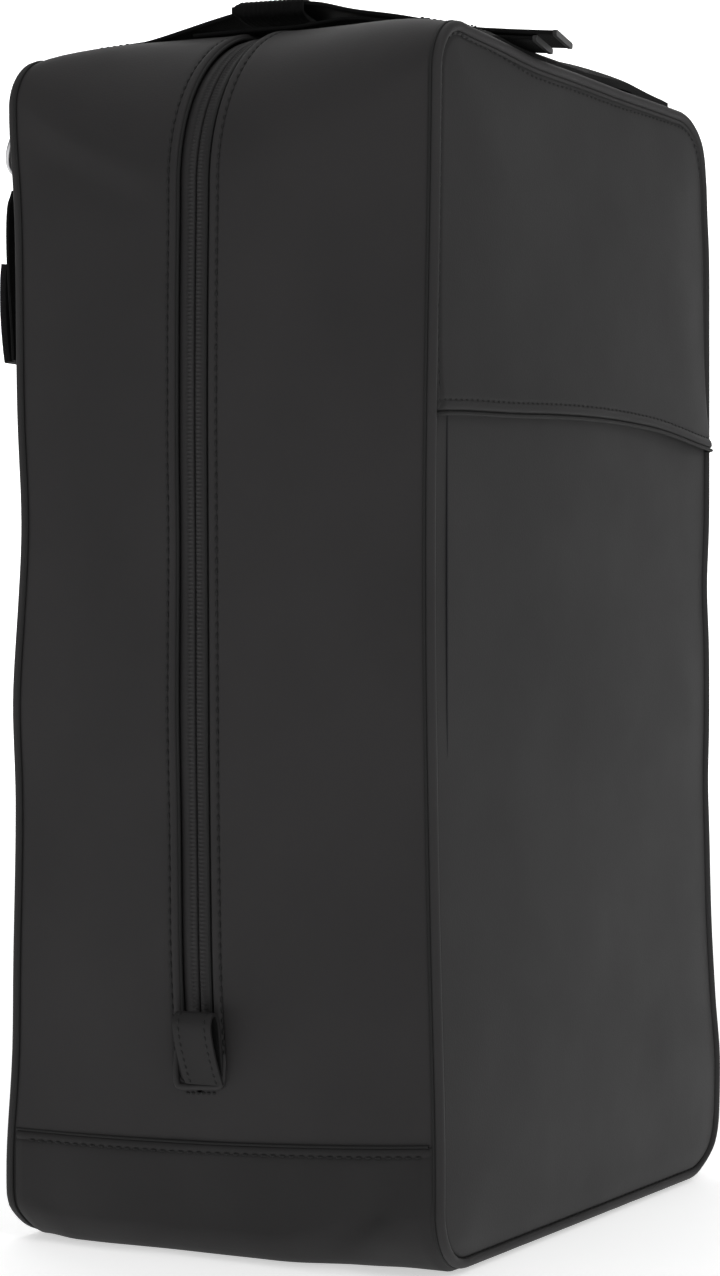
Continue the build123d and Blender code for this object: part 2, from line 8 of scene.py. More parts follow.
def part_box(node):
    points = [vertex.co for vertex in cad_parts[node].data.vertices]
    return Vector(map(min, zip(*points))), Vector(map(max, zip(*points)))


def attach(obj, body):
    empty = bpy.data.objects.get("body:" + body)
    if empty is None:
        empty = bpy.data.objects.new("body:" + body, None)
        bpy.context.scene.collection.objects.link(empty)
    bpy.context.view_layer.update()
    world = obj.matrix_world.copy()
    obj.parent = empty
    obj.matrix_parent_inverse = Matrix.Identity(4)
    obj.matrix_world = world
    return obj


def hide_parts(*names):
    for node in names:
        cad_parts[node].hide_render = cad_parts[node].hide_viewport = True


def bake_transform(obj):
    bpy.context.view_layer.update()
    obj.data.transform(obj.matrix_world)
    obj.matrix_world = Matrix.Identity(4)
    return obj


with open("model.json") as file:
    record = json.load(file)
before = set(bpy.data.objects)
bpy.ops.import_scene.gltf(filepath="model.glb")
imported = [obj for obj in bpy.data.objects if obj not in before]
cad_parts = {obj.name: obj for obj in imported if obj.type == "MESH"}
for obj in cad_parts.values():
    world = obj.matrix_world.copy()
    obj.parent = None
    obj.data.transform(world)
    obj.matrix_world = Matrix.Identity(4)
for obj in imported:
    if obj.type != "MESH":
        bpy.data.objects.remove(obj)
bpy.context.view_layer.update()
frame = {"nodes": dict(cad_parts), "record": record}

# Everything below is worked out in millimetres and turned into metres when a mesh is made.
MM = 0.001


def box_mm(node):
    """Lowest and highest corner of a CAD node, in millimetres."""
    low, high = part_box(node)
    return low / MM, high / MM


# ---------------------------------------------------------------- sizes taken from the frame
GUSSET_LOW, GUSSET_HIGH = box_mm("back_gusset")
FRONT_HIGH = box_mm("front_gusset")[1]
HALF_WIDTH = GUSSET_HIGH.x
TOP = GUSSET_HIGH.z
SEAM_Y = GUSSET_HIGH.y
ZIP_Y = (GUSSET_LOW.y + FRONT_HIGH.y) / 2
ZIP_HALF_GAP = (GUSSET_LOW.y - FRONT_HIGH.y) / 2
BOOT_TOP = box_mm("base_boot")[1].z
FACE_Y = box_mm("pocket_panel")[0].y
BACK_Y = box_mm("back_panel")[1].y
FOLD_Z = box_mm("near_lower_gusset")[1].z
GUSSET_FOOT = GUSSET_LOW.z
ZIP_FOOT = box_mm("back_zip_tape")[0].z

# Heights of the flap's folded edge, and of the pocket panel that ends behind it
FLAP_NEAR_Z = 261.0
FLAP_CREST_Z = 267.0
FLAP_FAR_Z = 265.0
POCKET_TOP = 270.0

# Soft shape of the bag, which the stiff CAD shell leaves out. The gusset stands on the boot's skin
BOOT_LAP = 1.3
BASE = BOOT_LAP
NEAR_CORNER = 17.0
FAR_CORNER = 29.0
ZIP_CORNER = 55.0
CROWN = 8.8
TOP_DIP = 2.0
TOP_DIP_X = -36.0
FRONT_FALL = 1.1
SEAM_LIFT = 1.2
ZIP_DRIFT = 3.4
BASE_CORNER = 20.0
BACK_BASE_CORNER = 9.5
BACK_SEAM_CORNER = 5.5
SIDE_BULGE = 4.5
FACE_BULGE = 4.0

# Skins, threads, the dark cords of painted shade, and the margins they keep from the edges
FABRIC_SKIN = 1.2
LINING_SKIN = 0.5
THREAD_PITCH = 3.3
THREAD_LENGTH = 2.4
THREAD_RADIUS = 0.42
# Radius of the dark cords of painted shade in the seam grooves and above the boot
SEAM_SHADE_CORD = 0.5
# Radius of the dark cords of painted shade beside the zipper and under the flap
WIDE_SHADE_CORD = 0.6
STITCH_MARGIN = 3.0
PANEL_INSET = 2.6
FLAP_STITCH_INSET = 4.4
HEM_STITCH = STITCH_MARGIN + 0.3


def clamp(value, low=0.0, high=1.0):
    """The value, kept between low and high."""
    return max(low, min(high, value))


def ease(value):
    """Smooth step from 0 to 1."""
    value = clamp(value)
    return value * value * (3 - 2 * value)


def mix(a, b, share):
    """The value a share of the way from a to b."""
    return a + (b - a) * share


def bell(value, centre, width):
    """1 at the centre, fading to either side."""
    return math.exp(-((value - centre) / width) ** 2)


# ---------------------------------------------------------------- materials
def new_material(name):
    """A new material, with its nodes and its links."""
    material = bpy.data.materials.new(name)
    material.use_nodes = True
    return material, material.node_tree.nodes, material.node_tree.links


def noise_node(nodes, links, coordinates, scale, detail=3.0, roughness=0.5):
    """Cloudy noise between 0 and 1."""
    node = nodes.new("ShaderNodeTexNoise")
    node.inputs["Scale"].default_value = scale
    node.inputs["Detail"].default_value = detail
    node.inputs["Roughness"].default_value = roughness
    links.new(coordinates, node.inputs["Vector"])
    return node.outputs["Fac"]


def ramp_node(nodes, links, factor, dark, light, low=0.35, high=0.65):
    """A colour between dark and light, by a factor that runs from low to high."""
    node = nodes.new("ShaderNodeValToRGB")
    node.color_ramp.elements[0].position = low
    node.color_ramp.elements[0].color = (*dark, 1)
    node.color_ramp.elements[1].position = high
    node.color_ramp.elements[1].color = (*light, 1)
    links.new(factor, node.inputs["Fac"])
    return node.outputs["Color"]


def range_node(nodes, links, value, low, high):
    """A value from 0 to 1, brought between low and high."""
    node = nodes.new("ShaderNodeMapRange")
    node.inputs["To Min"].default_value = low
    node.inputs["To Max"].default_value = high
    links.new(value, node.inputs["Value"])
    return node.outputs["Result"]


def bump_node(nodes, links, height, strength, distance, normal=None):
    """Fine relief, on top of another one where normal is given."""
    node = nodes.new("ShaderNodeBump")
    node.inputs["Strength"].default_value = strength
    node.inputs["Distance"].default_value = distance
    links.new(height, node.inputs["Height"])
    if normal is not None:
        links.new(normal, node.inputs["Normal"])
    return node.outputs["Normal"]


def coated_fabric(name, dark, light, roughness=(0.56, 0.68)):
    """Matt polyurethane-coated fabric: soft mottling, fine pebbled grain, a dull sheen."""
    material, nodes, links = new_material(name)
    shader = nodes["Principled BSDF"]
    place = nodes.new("ShaderNodeTexCoord").outputs["Object"]
    links.new(ramp_node(nodes, links, noise_node(nodes, links, place, 16, 4), dark, light),
              shader.inputs["Base Color"])
    worn = noise_node(nodes, links, place, 42, 3)
    links.new(range_node(nodes, links, worn, *roughness), shader.inputs["Roughness"])
    pebbles = nodes.new("ShaderNodeTexVoronoi")
    pebbles.inputs["Scale"].default_value = 1500
    links.new(place, pebbles.inputs["Vector"])
    grain = bump_node(nodes, links, pebbles.outputs["Distance"], 0.22, 0.00012)
    fine = noise_node(nodes, links, place, 2600, 2)
    links.new(bump_node(nodes, links, fine, 0.12, 0.0001, grain), shader.inputs["Normal"])
    shader.inputs["Specular IOR Level"].default_value = 0.2
    return material


def woven(name, dark, light, along, across, roughness=(0.7, 0.9), depth=0.0003):
    """Woven cloth or webbing. The attribute "weave" holds metres along and across the piece."""
    material, nodes, links = new_material(name)
    shader = nodes["Principled BSDF"]
    attribute = nodes.new("ShaderNodeAttribute")
    attribute.attribute_name = "weave"
    place = attribute.outputs["Vector"]
    waves = []
    for direction, scale in (("X", along), ("Y", across)):
        wave = nodes.new("ShaderNodeTexWave")
        wave.bands_direction = direction
        wave.inputs["Scale"].default_value = scale
        wave.inputs["Distortion"].default_value = 0.6
        wave.inputs["Detail"].default_value = 1
        wave.inputs["Detail Scale"].default_value = 2
        links.new(place, wave.inputs["Vector"])
        waves.append(wave.outputs["Fac"])
    height = nodes.new("ShaderNodeMath")
    height.operation = "MULTIPLY"
    links.new(waves[0], height.inputs[0])
    links.new(waves[1], height.inputs[1])
    dust = noise_node(nodes, links, place, 60, 3)
    links.new(ramp_node(nodes, links, height.outputs[0], dark, light, 0.0, 0.9), shader.inputs["Base Color"])
    links.new(range_node(nodes, links, dust, *roughness), shader.inputs["Roughness"])
    links.new(bump_node(nodes, links, height.outputs[0], 0.8, depth), shader.inputs["Normal"])
    shader.inputs["Specular IOR Level"].default_value = 0.2
    return material


def hard(name, dark, light, roughness, metallic=0.0):
    """Moulded plastic or finished metal with faint handling marks."""
    material, nodes, links = new_material(name)
    shader = nodes["Principled BSDF"]
    place = nodes.new("ShaderNodeTexCoord").outputs["Object"]
    marks = noise_node(nodes, links, place, 240, 4)
    links.new(ramp_node(nodes, links, marks, dark, light), shader.inputs["Base Color"])
    links.new(range_node(nodes, links, marks, *roughness), shader.inputs["Roughness"])
    links.new(bump_node(nodes, links, noise_node(nodes, links, place, 900, 2), 0.08, 0.0001),
              shader.inputs["Normal"])
    shader.inputs["Metallic"].default_value = metallic
    return material


# How each material is made: its function, and what that function is given
RECIPES = {
    "gusset_fabric": (coated_fabric, (0.0245, 0.0235, 0.0240), (0.0290, 0.0276, 0.0281)),
    "front_fabric": (coated_fabric, (0.0215, 0.0210, 0.0213), (0.0255, 0.0249, 0.0252)),
    "boot_fabric": (coated_fabric, (0.0165, 0.0159, 0.0162), (0.0205, 0.0197, 0.0200)),
    "welt_fabric": (coated_fabric, (0.0265, 0.0255, 0.0260), (0.0310, 0.0300, 0.0305)),
    "zip_tape": (coated_fabric, (0.0270, 0.0260, 0.0265), (0.0320, 0.0308, 0.0314), (0.45, 0.56)),
    "webbing": (woven, (0.0007, 0.0007, 0.0008), (0.0050, 0.0048, 0.0051), 700, 1300),
    "lining": (woven, (0.018, 0.018, 0.020), (0.045, 0.045, 0.048), 1200, 1200, (0.7, 0.9), 0.0001),
    # Lighter than the webbing: a painted highlight on the strap's cut ends
    "cut_webbing": (hard, (0.010, 0.010, 0.010), (0.024, 0.024, 0.024), (0.5, 0.7)),
    # Near-black: painted shade inside the grab loops' hollow
    "textile_back": (woven, (0.0010, 0.0010, 0.0011), (0.004, 0.004, 0.004), 1500, 1500, (0.7, 0.9), 0.0001),
    # Colours the stitches, and also the dark cords of painted shade along seams, zipper, boot and flap
    "thread": (hard, (0.0022, 0.0022, 0.0022), (0.0045, 0.0045, 0.0045), (0.7, 0.85)),
    "zip_coil": (hard, (0.007, 0.007, 0.007), (0.014, 0.014, 0.014), (0.3, 0.45)),
    "black_metal": (hard, (0.008, 0.008, 0.008), (0.016, 0.016, 0.016), (0.25, 0.4), 0.3),
    "ring_metal": (hard, (0.52, 0.52, 0.53), (0.66, 0.66, 0.67), (0.28, 0.42), 1.0),
    "foam": (hard, (0.03, 0.03, 0.03), (0.05, 0.05, 0.05), (0.8, 0.95)),
    "board": (hard, (0.02, 0.02, 0.02), (0.03, 0.03, 0.03), (0.4, 0.6)),
}
MATERIALS = {name: make(name, *values) for name, (make, *values) in RECIPES.items()}

# Materials without a slot of their own in the record
SLOTS = {"thread": "zip_coil", "cut_webbing": "webbing", "boot_fabric": "gusset_fabric",
         "textile_back": "gusset_fabric"}


# ---------------------------------------------------------------- mesh making
def make_piece(name, points, faces, slot, weave=None, sharp=50):
    """A mesh from points in millimetres. weave is metres along and across for each point."""
    mesh = bpy.data.meshes.new(name)
    mesh.from_pydata([tuple(c * MM for c in point) for point in points], [], faces)
    if weave is not None:
        layer = mesh.attributes.new("weave", "FLOAT_VECTOR", "POINT")
        layer.data.foreach_set("vector", [c for along, across in weave for c in (along * MM, across * MM, 0)])
    mesh.polygons.foreach_set("use_smooth", [True] * len(mesh.polygons))
    mesh.set_sharp_from_angle(angle=math.radians(sharp))
    mesh.update()
    piece = bpy.data.objects.new(name, mesh)
    bpy.context.scene.collection.objects.link(piece)
    piece.data.materials.append(MATERIALS[slot])
    SLOTS.get(slot, slot)
    return piece


def loft(name, sections, slot, closed=False, weave=None):
    """Joins closed sections, each a list of as many points, and caps the ends unless they meet."""
    count = len(sections[0])
    points = [point for section in sections for point in section]
    faces = []
    steps = len(sections) if closed else len(sections) - 1
    for i in range(steps):
        low = i * count
        high = ((i + 1) % len(sections)) * count
        for j in range(count):
            k = (j + 1) % count
            faces.append((low + j, low + k, high + k, high + j))
    if not closed:
        last = (len(sections) - 1) * count
        faces.append(tuple(reversed(range(count))))
        faces.append(tuple(range(last, last + count)))
    return make_piece(name, points, faces, slot, weave)


def sheet_between(name, outer, inner, slot, weave=None):
    """A closed sheet between two grids of points with the same rows and columns."""
    rows = len(outer)
    columns = len(outer[0])
    points = [point for row in outer for point in row] + [point for row in inner for point in row]
    offset = rows * columns
    faces = []
    for i in range(rows - 1):
        for j in range(columns - 1):
            a = i * columns + j
            quad = (a, a + 1, a + columns + 1, a + columns)
            faces.append(quad)
            faces.append(tuple(offset + k for k in reversed(quad)))
    rim = list(range(columns))
    rim += [i * columns + columns - 1 for i in range(1, rows)]
    rim += [(rows - 1) * columns + j for j in range(columns - 2, -1, -1)]
    rim += [i * columns for i in range(rows - 2, 0, -1)]
    for here, there in zip(rim, rim[1:] + rim[:1]):
        faces.append((there, here, offset + here, offset + there))
    return make_piece(name, points, faces, slot, weave)


def curve_through(stops, steps):
    """Catmull-Rom curve through the stops, with so many steps between two of them."""
    stops = [Vector(stop) for stop in stops]
    padded = [2 * stops[0] - stops[1], *stops, 2 * stops[-1] - stops[-2]]
    line = []
    for a, b, c, d in zip(padded, padded[1:], padded[2:], padded[3:]):
        for step in range(steps):
            t = step / steps
            line.append(0.5 * (2 * b + (c - a) * t + (2 * a - 5 * b + 4 * c - d) * t * t
                               + (3 * b - a - 3 * c + d) * t ** 3))
    return line + [stops[-1]]


def along_line(line):
    """Distance of each point along the line."""
    total = 0.0
    lengths = [0.0]
    for a, b in zip(line, line[1:]):
        total += (Vector(b) - Vector(a)).length
        lengths.append(total)
    return lengths


def tangent(line, i):
    """Direction of the line at its point i."""
    return (Vector(line[min(i + 1, len(line) - 1)]) - Vector(line[max(i - 1, 0)])).normalized()


def walk(line, targets):
    """For each distance along the line: the number of the point before it, and the share of the way on."""
    lengths = along_line(line)
    i = 0
    for target in targets:
        while i < len(lengths) - 2 and lengths[i + 1] < target:
            i += 1
        yield i, (target - lengths[i]) / max(lengths[i + 1] - lengths[i], 1e-6)


def circle(centre, first, second, sides):
    """Points round a centre, on the ellipse with these half axes."""
    angles = [2 * math.pi * k / sides for k in range(sides)]
    return [centre + first * math.cos(a) + second * math.sin(a) for a in angles]


def add_bead(points, faces, rings):
    """Adds a small closed body, given as rings of points, to a mesh in the making."""
    start = len(points)
    sides = len(rings[0])
    for ring in rings:
        points.extend(ring)
    for i in range(len(rings) - 1):
        for k in range(sides):
            a = start + i * sides + k
            b = start + i * sides + (k + 1) % sides
            faces.append((a, b, b + sides, a + sides))
    faces.append(tuple(start + k for k in reversed(range(sides))))
    last = start + (len(rings) - 1) * sides
    faces.append(tuple(last + k for k in range(sides)))


def stitches(name, runs, pitch=THREAD_PITCH, length=THREAD_LENGTH, radius=THREAD_RADIUS):
    """Dashes of thread along runs. Each run is a list of (point, outward normal)."""
    points = []
    faces = []
    swells = ((-0.5, 0.25), (-0.36, 0.85), (0, 1.0), (0.36, 0.85), (0.5, 0.25))
    for run in runs:
        line = [Vector(point) for point, _ in run]
        count = int(along_line(line)[-1] / pitch)
        for i, share in walk(line, [(number + 0.5) * pitch for number in range(count)]):
            middle = line[i].lerp(line[i + 1], share)
            forward = (line[i + 1] - line[i]).normalized()
            up = Vector(run[i][1]).lerp(Vector(run[i + 1][1]), share)
            up = (up - forward * up.dot(forward)).normalized()
            side = forward.cross(up)
            rings = []
            for reach, swell in swells:
                dip = radius * 1.5 * (2 * reach) ** 2
                centre = middle + forward * (reach * length) - up * dip
                rings.append(circle(centre, side * radius * swell, up * radius * swell, 6))
            add_bead(points, faces, rings)
    return make_piece(name, points, faces, "thread", sharp=80)


# ---------------------------------------------------------------- the bag's soft shape
def seam_share(y):
    """0 over the zipper, 1 at the seams with the front and back panels."""
    return clamp(abs(y - ZIP_Y) / (SEAM_Y - ZIP_Y if y > ZIP_Y else SEAM_Y + ZIP_Y))


def top_corner(y, far=False):
    """Corner radius of the outline: tight at the seams, loose over the zipper."""
    return mix(ZIP_CORNER, FAR_CORNER if far else NEAR_CORNER, seam_share(y) ** 2)


def base_corner(y):
    """Corner radius at the floor: loose at the front, tight behind, and looser again at the back seam."""
    return mix(BASE_CORNER, BACK_BASE_CORNER, ease((y + 62) / 45)) + BACK_SEAM_CORNER * ease((y - 56) / 16)


def top_height(y):
    """The top is crowned between its seams."""
    return TOP + CROWN * (1 - seam_share(y) ** (5.0 if y > ZIP_Y else 4.0))


def top_shift(x, y):
    """The seams rise at the near top corners and dip beside them; the front one is lower on its far part."""
    share = seam_share(y)
    lift = SEAM_LIFT * bell(x, -104, 13 if y < ZIP_Y else 20)
    dip = TOP_DIP * bell(x, TOP_DIP_X, 27 if x < TOP_DIP_X else 66)
    fall = FRONT_FALL * ease((x + 20) / 60) * (y < ZIP_Y)
    return lift * share ** 5 - dip * share ** 2 - fall * share ** 2


def softness(x, y, z):
    """Slow unevenness of soft fabric, in millimetres along the surface's normal."""
    slow = noise.noise(Vector((x / 70 + 3.1, y / 60 - 1.7, z / 85 + 0.4)))
    quick = noise.noise(Vector((x / 26 + 7.7, y / 24 + 2.2, z / 34 - 5.1)))
    return 0.9 * slow + 0.22 * quick


def warp(point):
    """Flare at the base and a slight waist, for every piece sewn to the shell."""
    x, y, z = point
    flare = bell(z, 38, 46) * ease(z / 12)
    waist = bell(z, 215, 120)
    seam = ease(abs(y) / SEAM_Y)
    x += math.copysign(min(abs(x), HALF_WIDTH) / HALF_WIDTH, x) * (2.6 * flare)
    side = math.copysign(1, y)
    depth_share = min(abs(y), SEAM_Y) / SEAM_Y
    near = ease((30 - x) / 120)
    drift = zip_drift(x, z) * (1 - depth_share ** 2)
    drawn_in = waist * seam * (2.6 * near if y < 0 else 1.4)
    y += side * depth_share * (2.2 * flare - drawn_in + seam_wave(near, y, z))
    return Vector((x, y + drift, z))


def zip_drift(x, z):
    """On the near side the zipper leans back as it rises."""
    near = ease((60 - x) / 120)
    return ZIP_DRIFT * near * (1 - math.exp(-max(z - FOLD_Z - 2, 0) / 55))


def seam_wave(near, y, z):
    """How far a panel's edge stands proud of its plane: it wanders up the bag. near is 1 on the near side."""
    if y > 0:
        wave = (2.1 * bell(z, 362, 24) - 1.6 * bell(z, 230, 25)
                + 1.5 * bell(z, 172, 22) - 2.4 * bell(z, 55, 28))
        return wave * near
    level = ease((z - 40) / 25) * ease((372 - z) / 15)
    wave = 0.9 * level + 0.9 * bell(z, 352, 16) + 0.9 * bell(z, 212, 16) + 0.5 * bell(z, 142, 16)
    return -wave * (1 - near)


# The outline of a section is walked in ten parts, each cut into so many steps
STATION_STEPS = (10, 12, 78, 22, 30, 30, 22, 78, 12, 10)
ROUND = len(STATION_STEPS)


def outline_point(s, y):
    """Point and outward normal of the outline at depth y. s runs from 0, the middle of the floor,
    up the near side (2 to 3), over the top (5 is its middle) and down the far side, to 10."""
    mirror = 1 if s <= ROUND / 2 else -1
    s = s if mirror > 0 else ROUND - s
    top_radius = top_corner(y, mirror < 0)
    part = min(int(s), 4)
    share = s - part
    flat_end = -(HALF_WIDTH - top_radius)
    top = top_height(y) + top_shift(mirror * flat_end, y) * (part > 1)
    base_radius = base_corner(y)
    if part == 0:
        x = -share * (HALF_WIDTH - base_radius)
        z, nx, nz = BASE, 0.0, -1.0
    elif part == 1:
        angle = share * math.pi / 2
        nx, nz = -math.sin(angle), -math.cos(angle)
        x = -(HALF_WIDTH - base_radius) + base_radius * nx
        z = BASE + base_radius + base_radius * nz
    elif part == 2:
        x, nx, nz = -HALF_WIDTH, -1.0, 0.0
        z = mix(BASE + base_radius, top - top_radius, share)
    elif part == 3:
        angle = share * math.pi / 2
        nx, nz = -math.cos(angle), math.sin(angle)
        x = -(HALF_WIDTH - top_radius) + top_radius * nx
        z = top - top_radius + top_radius * nz
    else:
        x = mix(flat_end, 0, share)
        z, nx, nz = top_height(y) + top_shift(mirror * x, y), 0.0, 1.0
    return Vector((mirror * x, y, z)), Vector((mirror * nx, 0, nz))


def station_at_height(z, y, far=False):
    """The place along the outline where a side has height z."""
    low = BASE + base_corner(y)
    share = (z - low) / (top_height(y) - top_corner(y, far) - low)
    s = 2 + share
    if share < 0:
        s = 1 + math.acos(clamp((low - z) / base_corner(y))) / (math.pi / 2)
    return ROUND - s if far else s


def top_station(x, y):
    """The place along the outline above x."""
    radius = top_corner(y, x > 0)
    flat_end = HALF_WIDTH - radius
    if abs(x) > flat_end:
        s = 3 + math.acos(clamp((abs(x) - flat_end) / radius)) / (math.pi / 2)
    else:
        s = 4 + (flat_end - abs(x)) / flat_end
    return ROUND - s if x > 0 else s


def side_bulge(y, z, normal):
    """How far the side stands out between its seams."""
    across = clamp(1 - (y / SEAM_Y) ** 2)
    height = ease((z - 12) / 90) * mix(1, 0.7, ease((z - 250) / 130))
    upright = abs(normal.x)
    return SIDE_BULGE * across * height * upright


def shell_point(s, y, out=0.0):
    """A point on the gusset's soft surface, out millimetres proud of it."""
    point, normal = outline_point(s, y)
    seam = ease((SEAM_Y - abs(y)) / 14)
    soft = softness(*point) * seam * ease((point.z - BOOT_TOP) / 20 + 0.35)
    crease = top_crease(point)
    return warp(point + normal * (out + side_bulge(y, point.z, normal) + soft + crease * seam))


def top_crease(point):
    """Two slanting folds high on the near side, behind the zipper."""
    if point.x > 0:
        return 0.0
    rise = point.z - 352 + 0.45 * (50 - point.y)
    fade = ease((point.y - 12) / 18) * bell(point.z, 345, 26)
    return fade * (0.9 * bell(rise, 0, 6) - 0.7 * bell(rise, -11, 7))


def shell_normal(s, y):
    """Outward direction of the soft surface."""
    a = shell_point(s + 0.004, y) - shell_point(s - 0.004, y)
    b = shell_point(s, min(y + 0.8, SEAM_Y)) - shell_point(s, max(y - 0.8, -SEAM_Y))
    normal = a.cross(b).normalized()
    guess = outline_point(s, y)[1]
    return normal if normal.dot(guess) > 0 else -normal


def stations(first, last):
    """Places along the outline, closer together in the corners."""
    marks = [0.0]
    for part, steps in enumerate(STATION_STEPS):
        marks += [part + (k + 1) / steps for k in range(steps)]
    inside = [s for s in marks if first + 0.004 < s < last - 0.004]
    return [first, *inside, last]


def shell_run(y, first, last, out=0.0, step=0.03):
    """Points and normals along the outline at depth y, for a line of stitches."""
    count = max(2, int((last - first) / step))
    run = []
    for k in range(count + 1):
        s = mix(first, last, k / count)
        run.append((shell_point(s, y, out), shell_normal(s, y)))
    return run


# ---------------------------------------------------------------- gusset halves and boot
# The zipper's slot starts at this height, and its edges are fully folded at the second
SLOT_FOOT = 54.8
SLOT_FULL = 57.0
SLOT_SLANT = 0.06


def slot_share(s):
    """0 below the zipper's slot, 1 where its edges are fully folded."""
    z = outline_point(s, ZIP_Y)[0].z
    return ease((z - SLOT_FOOT) / (SLOT_FULL - SLOT_FOOT))


def gusset_section(direction, share):
    """Closed section of one gusset half as (y, out): the folded edge by the zipper, the stitched
    groove, the panel and the dip into the seam, then back along the inside."""
    edge = ZIP_HALF_GAP * share
    fold = [(8.0, -2.3), (1.8, -2.1), (0.7, -1.95), (0.1, -1.5), (0.0, -0.75), (0.35, -0.05),
            (1.1, 0.35), (2.0, 0.25)]
    groove = [(STITCH_MARGIN - 0.5, -0.12), (STITCH_MARGIN, -0.5), (STITCH_MARGIN + 0.5, -0.12),
              (STITCH_MARGIN + 1.2, 0.1), (STITCH_MARGIN + 3, 0.0)]
    width = SEAM_Y - direction * ZIP_Y
    outer = [(edge + reach * share, out * share) for reach, out in fold + groove]
    start = outer[-1][0]
    panel = [mix(start, width - 6, k / 14) for k in range(1, 15)]
    outer += [(reach, 0.0) for reach in panel]
    outer += [(width - 3.0, 0.0), (width - 0.8, -0.05), (width + 0.3, -0.2), (width + 0.9, -0.7),
              (width + 1.1, -1.6)]
    inner = [(width + 0.9, -2.6), (width - 2.5, -FABRIC_SKIN - 0.6), (width - 6, -FABRIC_SKIN)]
    inner += [(mix(width - 6, edge + 9.5, k / 7), -FABRIC_SKIN) for k in range(1, 8)]
    return [(ZIP_Y + direction * reach, out) for reach, out in outer + inner]


def make_gusset_half(name, direction):
    """The back (direction 1) or front (-1) half of the gusset, from one foot over the top to the other."""
    first = station_at_height(GUSSET_FOOT, 0)
    sections = []
    for s in stations(first, ROUND - first):
        section = gusset_section(direction, slot_share(s))[::direction]
        sections.append([shell_point(s, y, out) for y, out in section])
    return loft(name, sections, "gusset_fabric")


def boot_rise(y):
    """The boot's edge is higher at the front."""
    share = clamp((SEAM_Y - y) / (2 * SEAM_Y))
    return 1.6 - 1.3 * share + 6.4 * share ** 2


def boot_station(y, above, far=False):
    """The place along the outline so far above the boot's edge."""
    return station_at_height(BOOT_TOP + boot_rise(y) + above, y, far)


def make_boot():
    """The boot laps over the gusset's foot with a folded, topstitched edge."""
    sections = []
    rises = [(0.0, -0.9), (-0.25, -0.35), (-0.9, 0.0), (-1.8, 0.08), (-2.3, -0.1), (-2.7, -0.3),
             (-3.1, -0.1), (-3.8, 0.05), (-6.0, 0.0)]
    end = station_at_height(BOOT_TOP, 0)
    near = [(rise, end, out) for rise, out in rises]
    body = [(rises[-1][0], s, 0.0) for s in stations(0, end - 0.07)[::-1]]
    order = near + body
    order += [(rise, -s, out) for rise, s, out in order[-2::-1]]
    reach = SEAM_Y + 1.1
    across = [mix(-reach, reach, k / 60) for k in range(61)]

    def place(rise, s, y):
        """Rows by the edge follow its slope, and those further down settle to level."""
        far = s < 0
        edge = boot_station(y, rise, far)
        edge = ROUND - edge if far else edge
        spot = edge * abs(s) / end
        return ROUND - spot if far else spot

    for rise, s, out in order:
        ring = []
        for y in across:
            dip = -2.2 * clamp((abs(y) - SEAM_Y + 0.9) / 2.0) ** 2
            ring.append(boot_point(place(rise, s, y) % ROUND, y, BOOT_LAP + out + dip))
        for y in reversed(across):
            ring.append(boot_point(place(rise, s, y) % ROUND, y, BOOT_LAP - FABRIC_SKIN))
        sections.append(ring)
    return loft("boot_skin", sections, "boot_fabric")


def boot_point(s, y, out):
    """A point on the boot; flat where it rests on the floor."""
    point, normal = outline_point(s, y)
    dent = boot_dents(point)
    upright = abs(normal.x)
    soft = softness(*point) * 0.9 * upright
    moved = warp(point + normal * (out + side_bulge(y, point.z, normal) + soft + dent * upright))
    moved.z = max(moved.z, 0.0)
    return moved


def boot_dents(point):
    """Soft hollows in the boot, most of all beside its front corner."""
    x, y, z = point
    side = 1.0 if x < 0 else 0.5
    fade = bell(z, 17, 13)
    slant = y + 0.9 * (z - 16)
    hollow = -3.0 * bell(slant, -50, 7) + 1.6 * bell(slant, -62, 6) + 1.1 * bell(slant, -33, 9)
    hollow += -2.2 * bell(slant, 10, 11) + 1.5 * bell(slant, 34, 13) - 1.3 * bell(y, 60, 9)
    return side * hollow * fade


def make_seam_stitches():
    """Topstitching on the gusset: beside the zipper, round its end, and along the boot."""
    foot = SLOT_FOOT - 1.2
    margin = ZIP_HALF_GAP + STITCH_MARGIN
    pieces = {}
    for name, direction in (("back", 1), ("front", -1)):
        y = ZIP_Y + direction * margin
        first = station_at_height(foot, y)
        runs = [shell_run(y, first, ROUND - first, -0.1, 0.02)]
        for far in (False, True):
            run = []
            for k in range(9):
                across = ZIP_Y + direction * margin * k / 8
                s = station_at_height(foot, across, far)
                run.append((shell_point(s, across, 0.1), shell_normal(s, across)))
            runs.append(run)
        pieces[name] = stitches(f"{name}_zip_topstitch", runs)
    runs = []
    for far in (False, True):
        run = []
        for k in range(61):
            y = mix(-SEAM_Y + 2, SEAM_Y - 2, k / 60)
            s = boot_station(y, -2.7, far)
            run.append((boot_point(s, y, BOOT_LAP + 0.1), shell_normal(s, y)))
        runs.append(run)
    pieces["boot"] = stitches("boot_topstitch", runs)
    return pieces


def cord(name, line, radius, slot, closed=False):
    """A thin round line along points."""
    sections = []
    count = len(line)
    for i, point in enumerate(line):
        forward = (line[(i + 1) % count] - line[i - 1]).normalized() if closed else tangent(line, i)
        guess = Vector((0, 1, 0)) if abs(forward.y) < 0.7 else Vector((1, 0, 0))
        across = forward.cross(guess).normalized()
        up = across.cross(forward)
        sections.append(circle(point, across * radius, up * radius, 8))
    return loft(name, sections, slot, closed=closed)


def make_seam_shade_line(name, side):
    """A dark cord of thread colour in the groove between the gusset and the turned edge of a panel: painted
    shade in the groove.
    """
    line = [shell_point(s, side * SEAM_Y, -0.1) + Vector((0, side * 0.9, 0)) for s in stations(0, ROUND)[:-1]]
    return cord(name, line, SEAM_SHADE_CORD, "thread", closed=True)


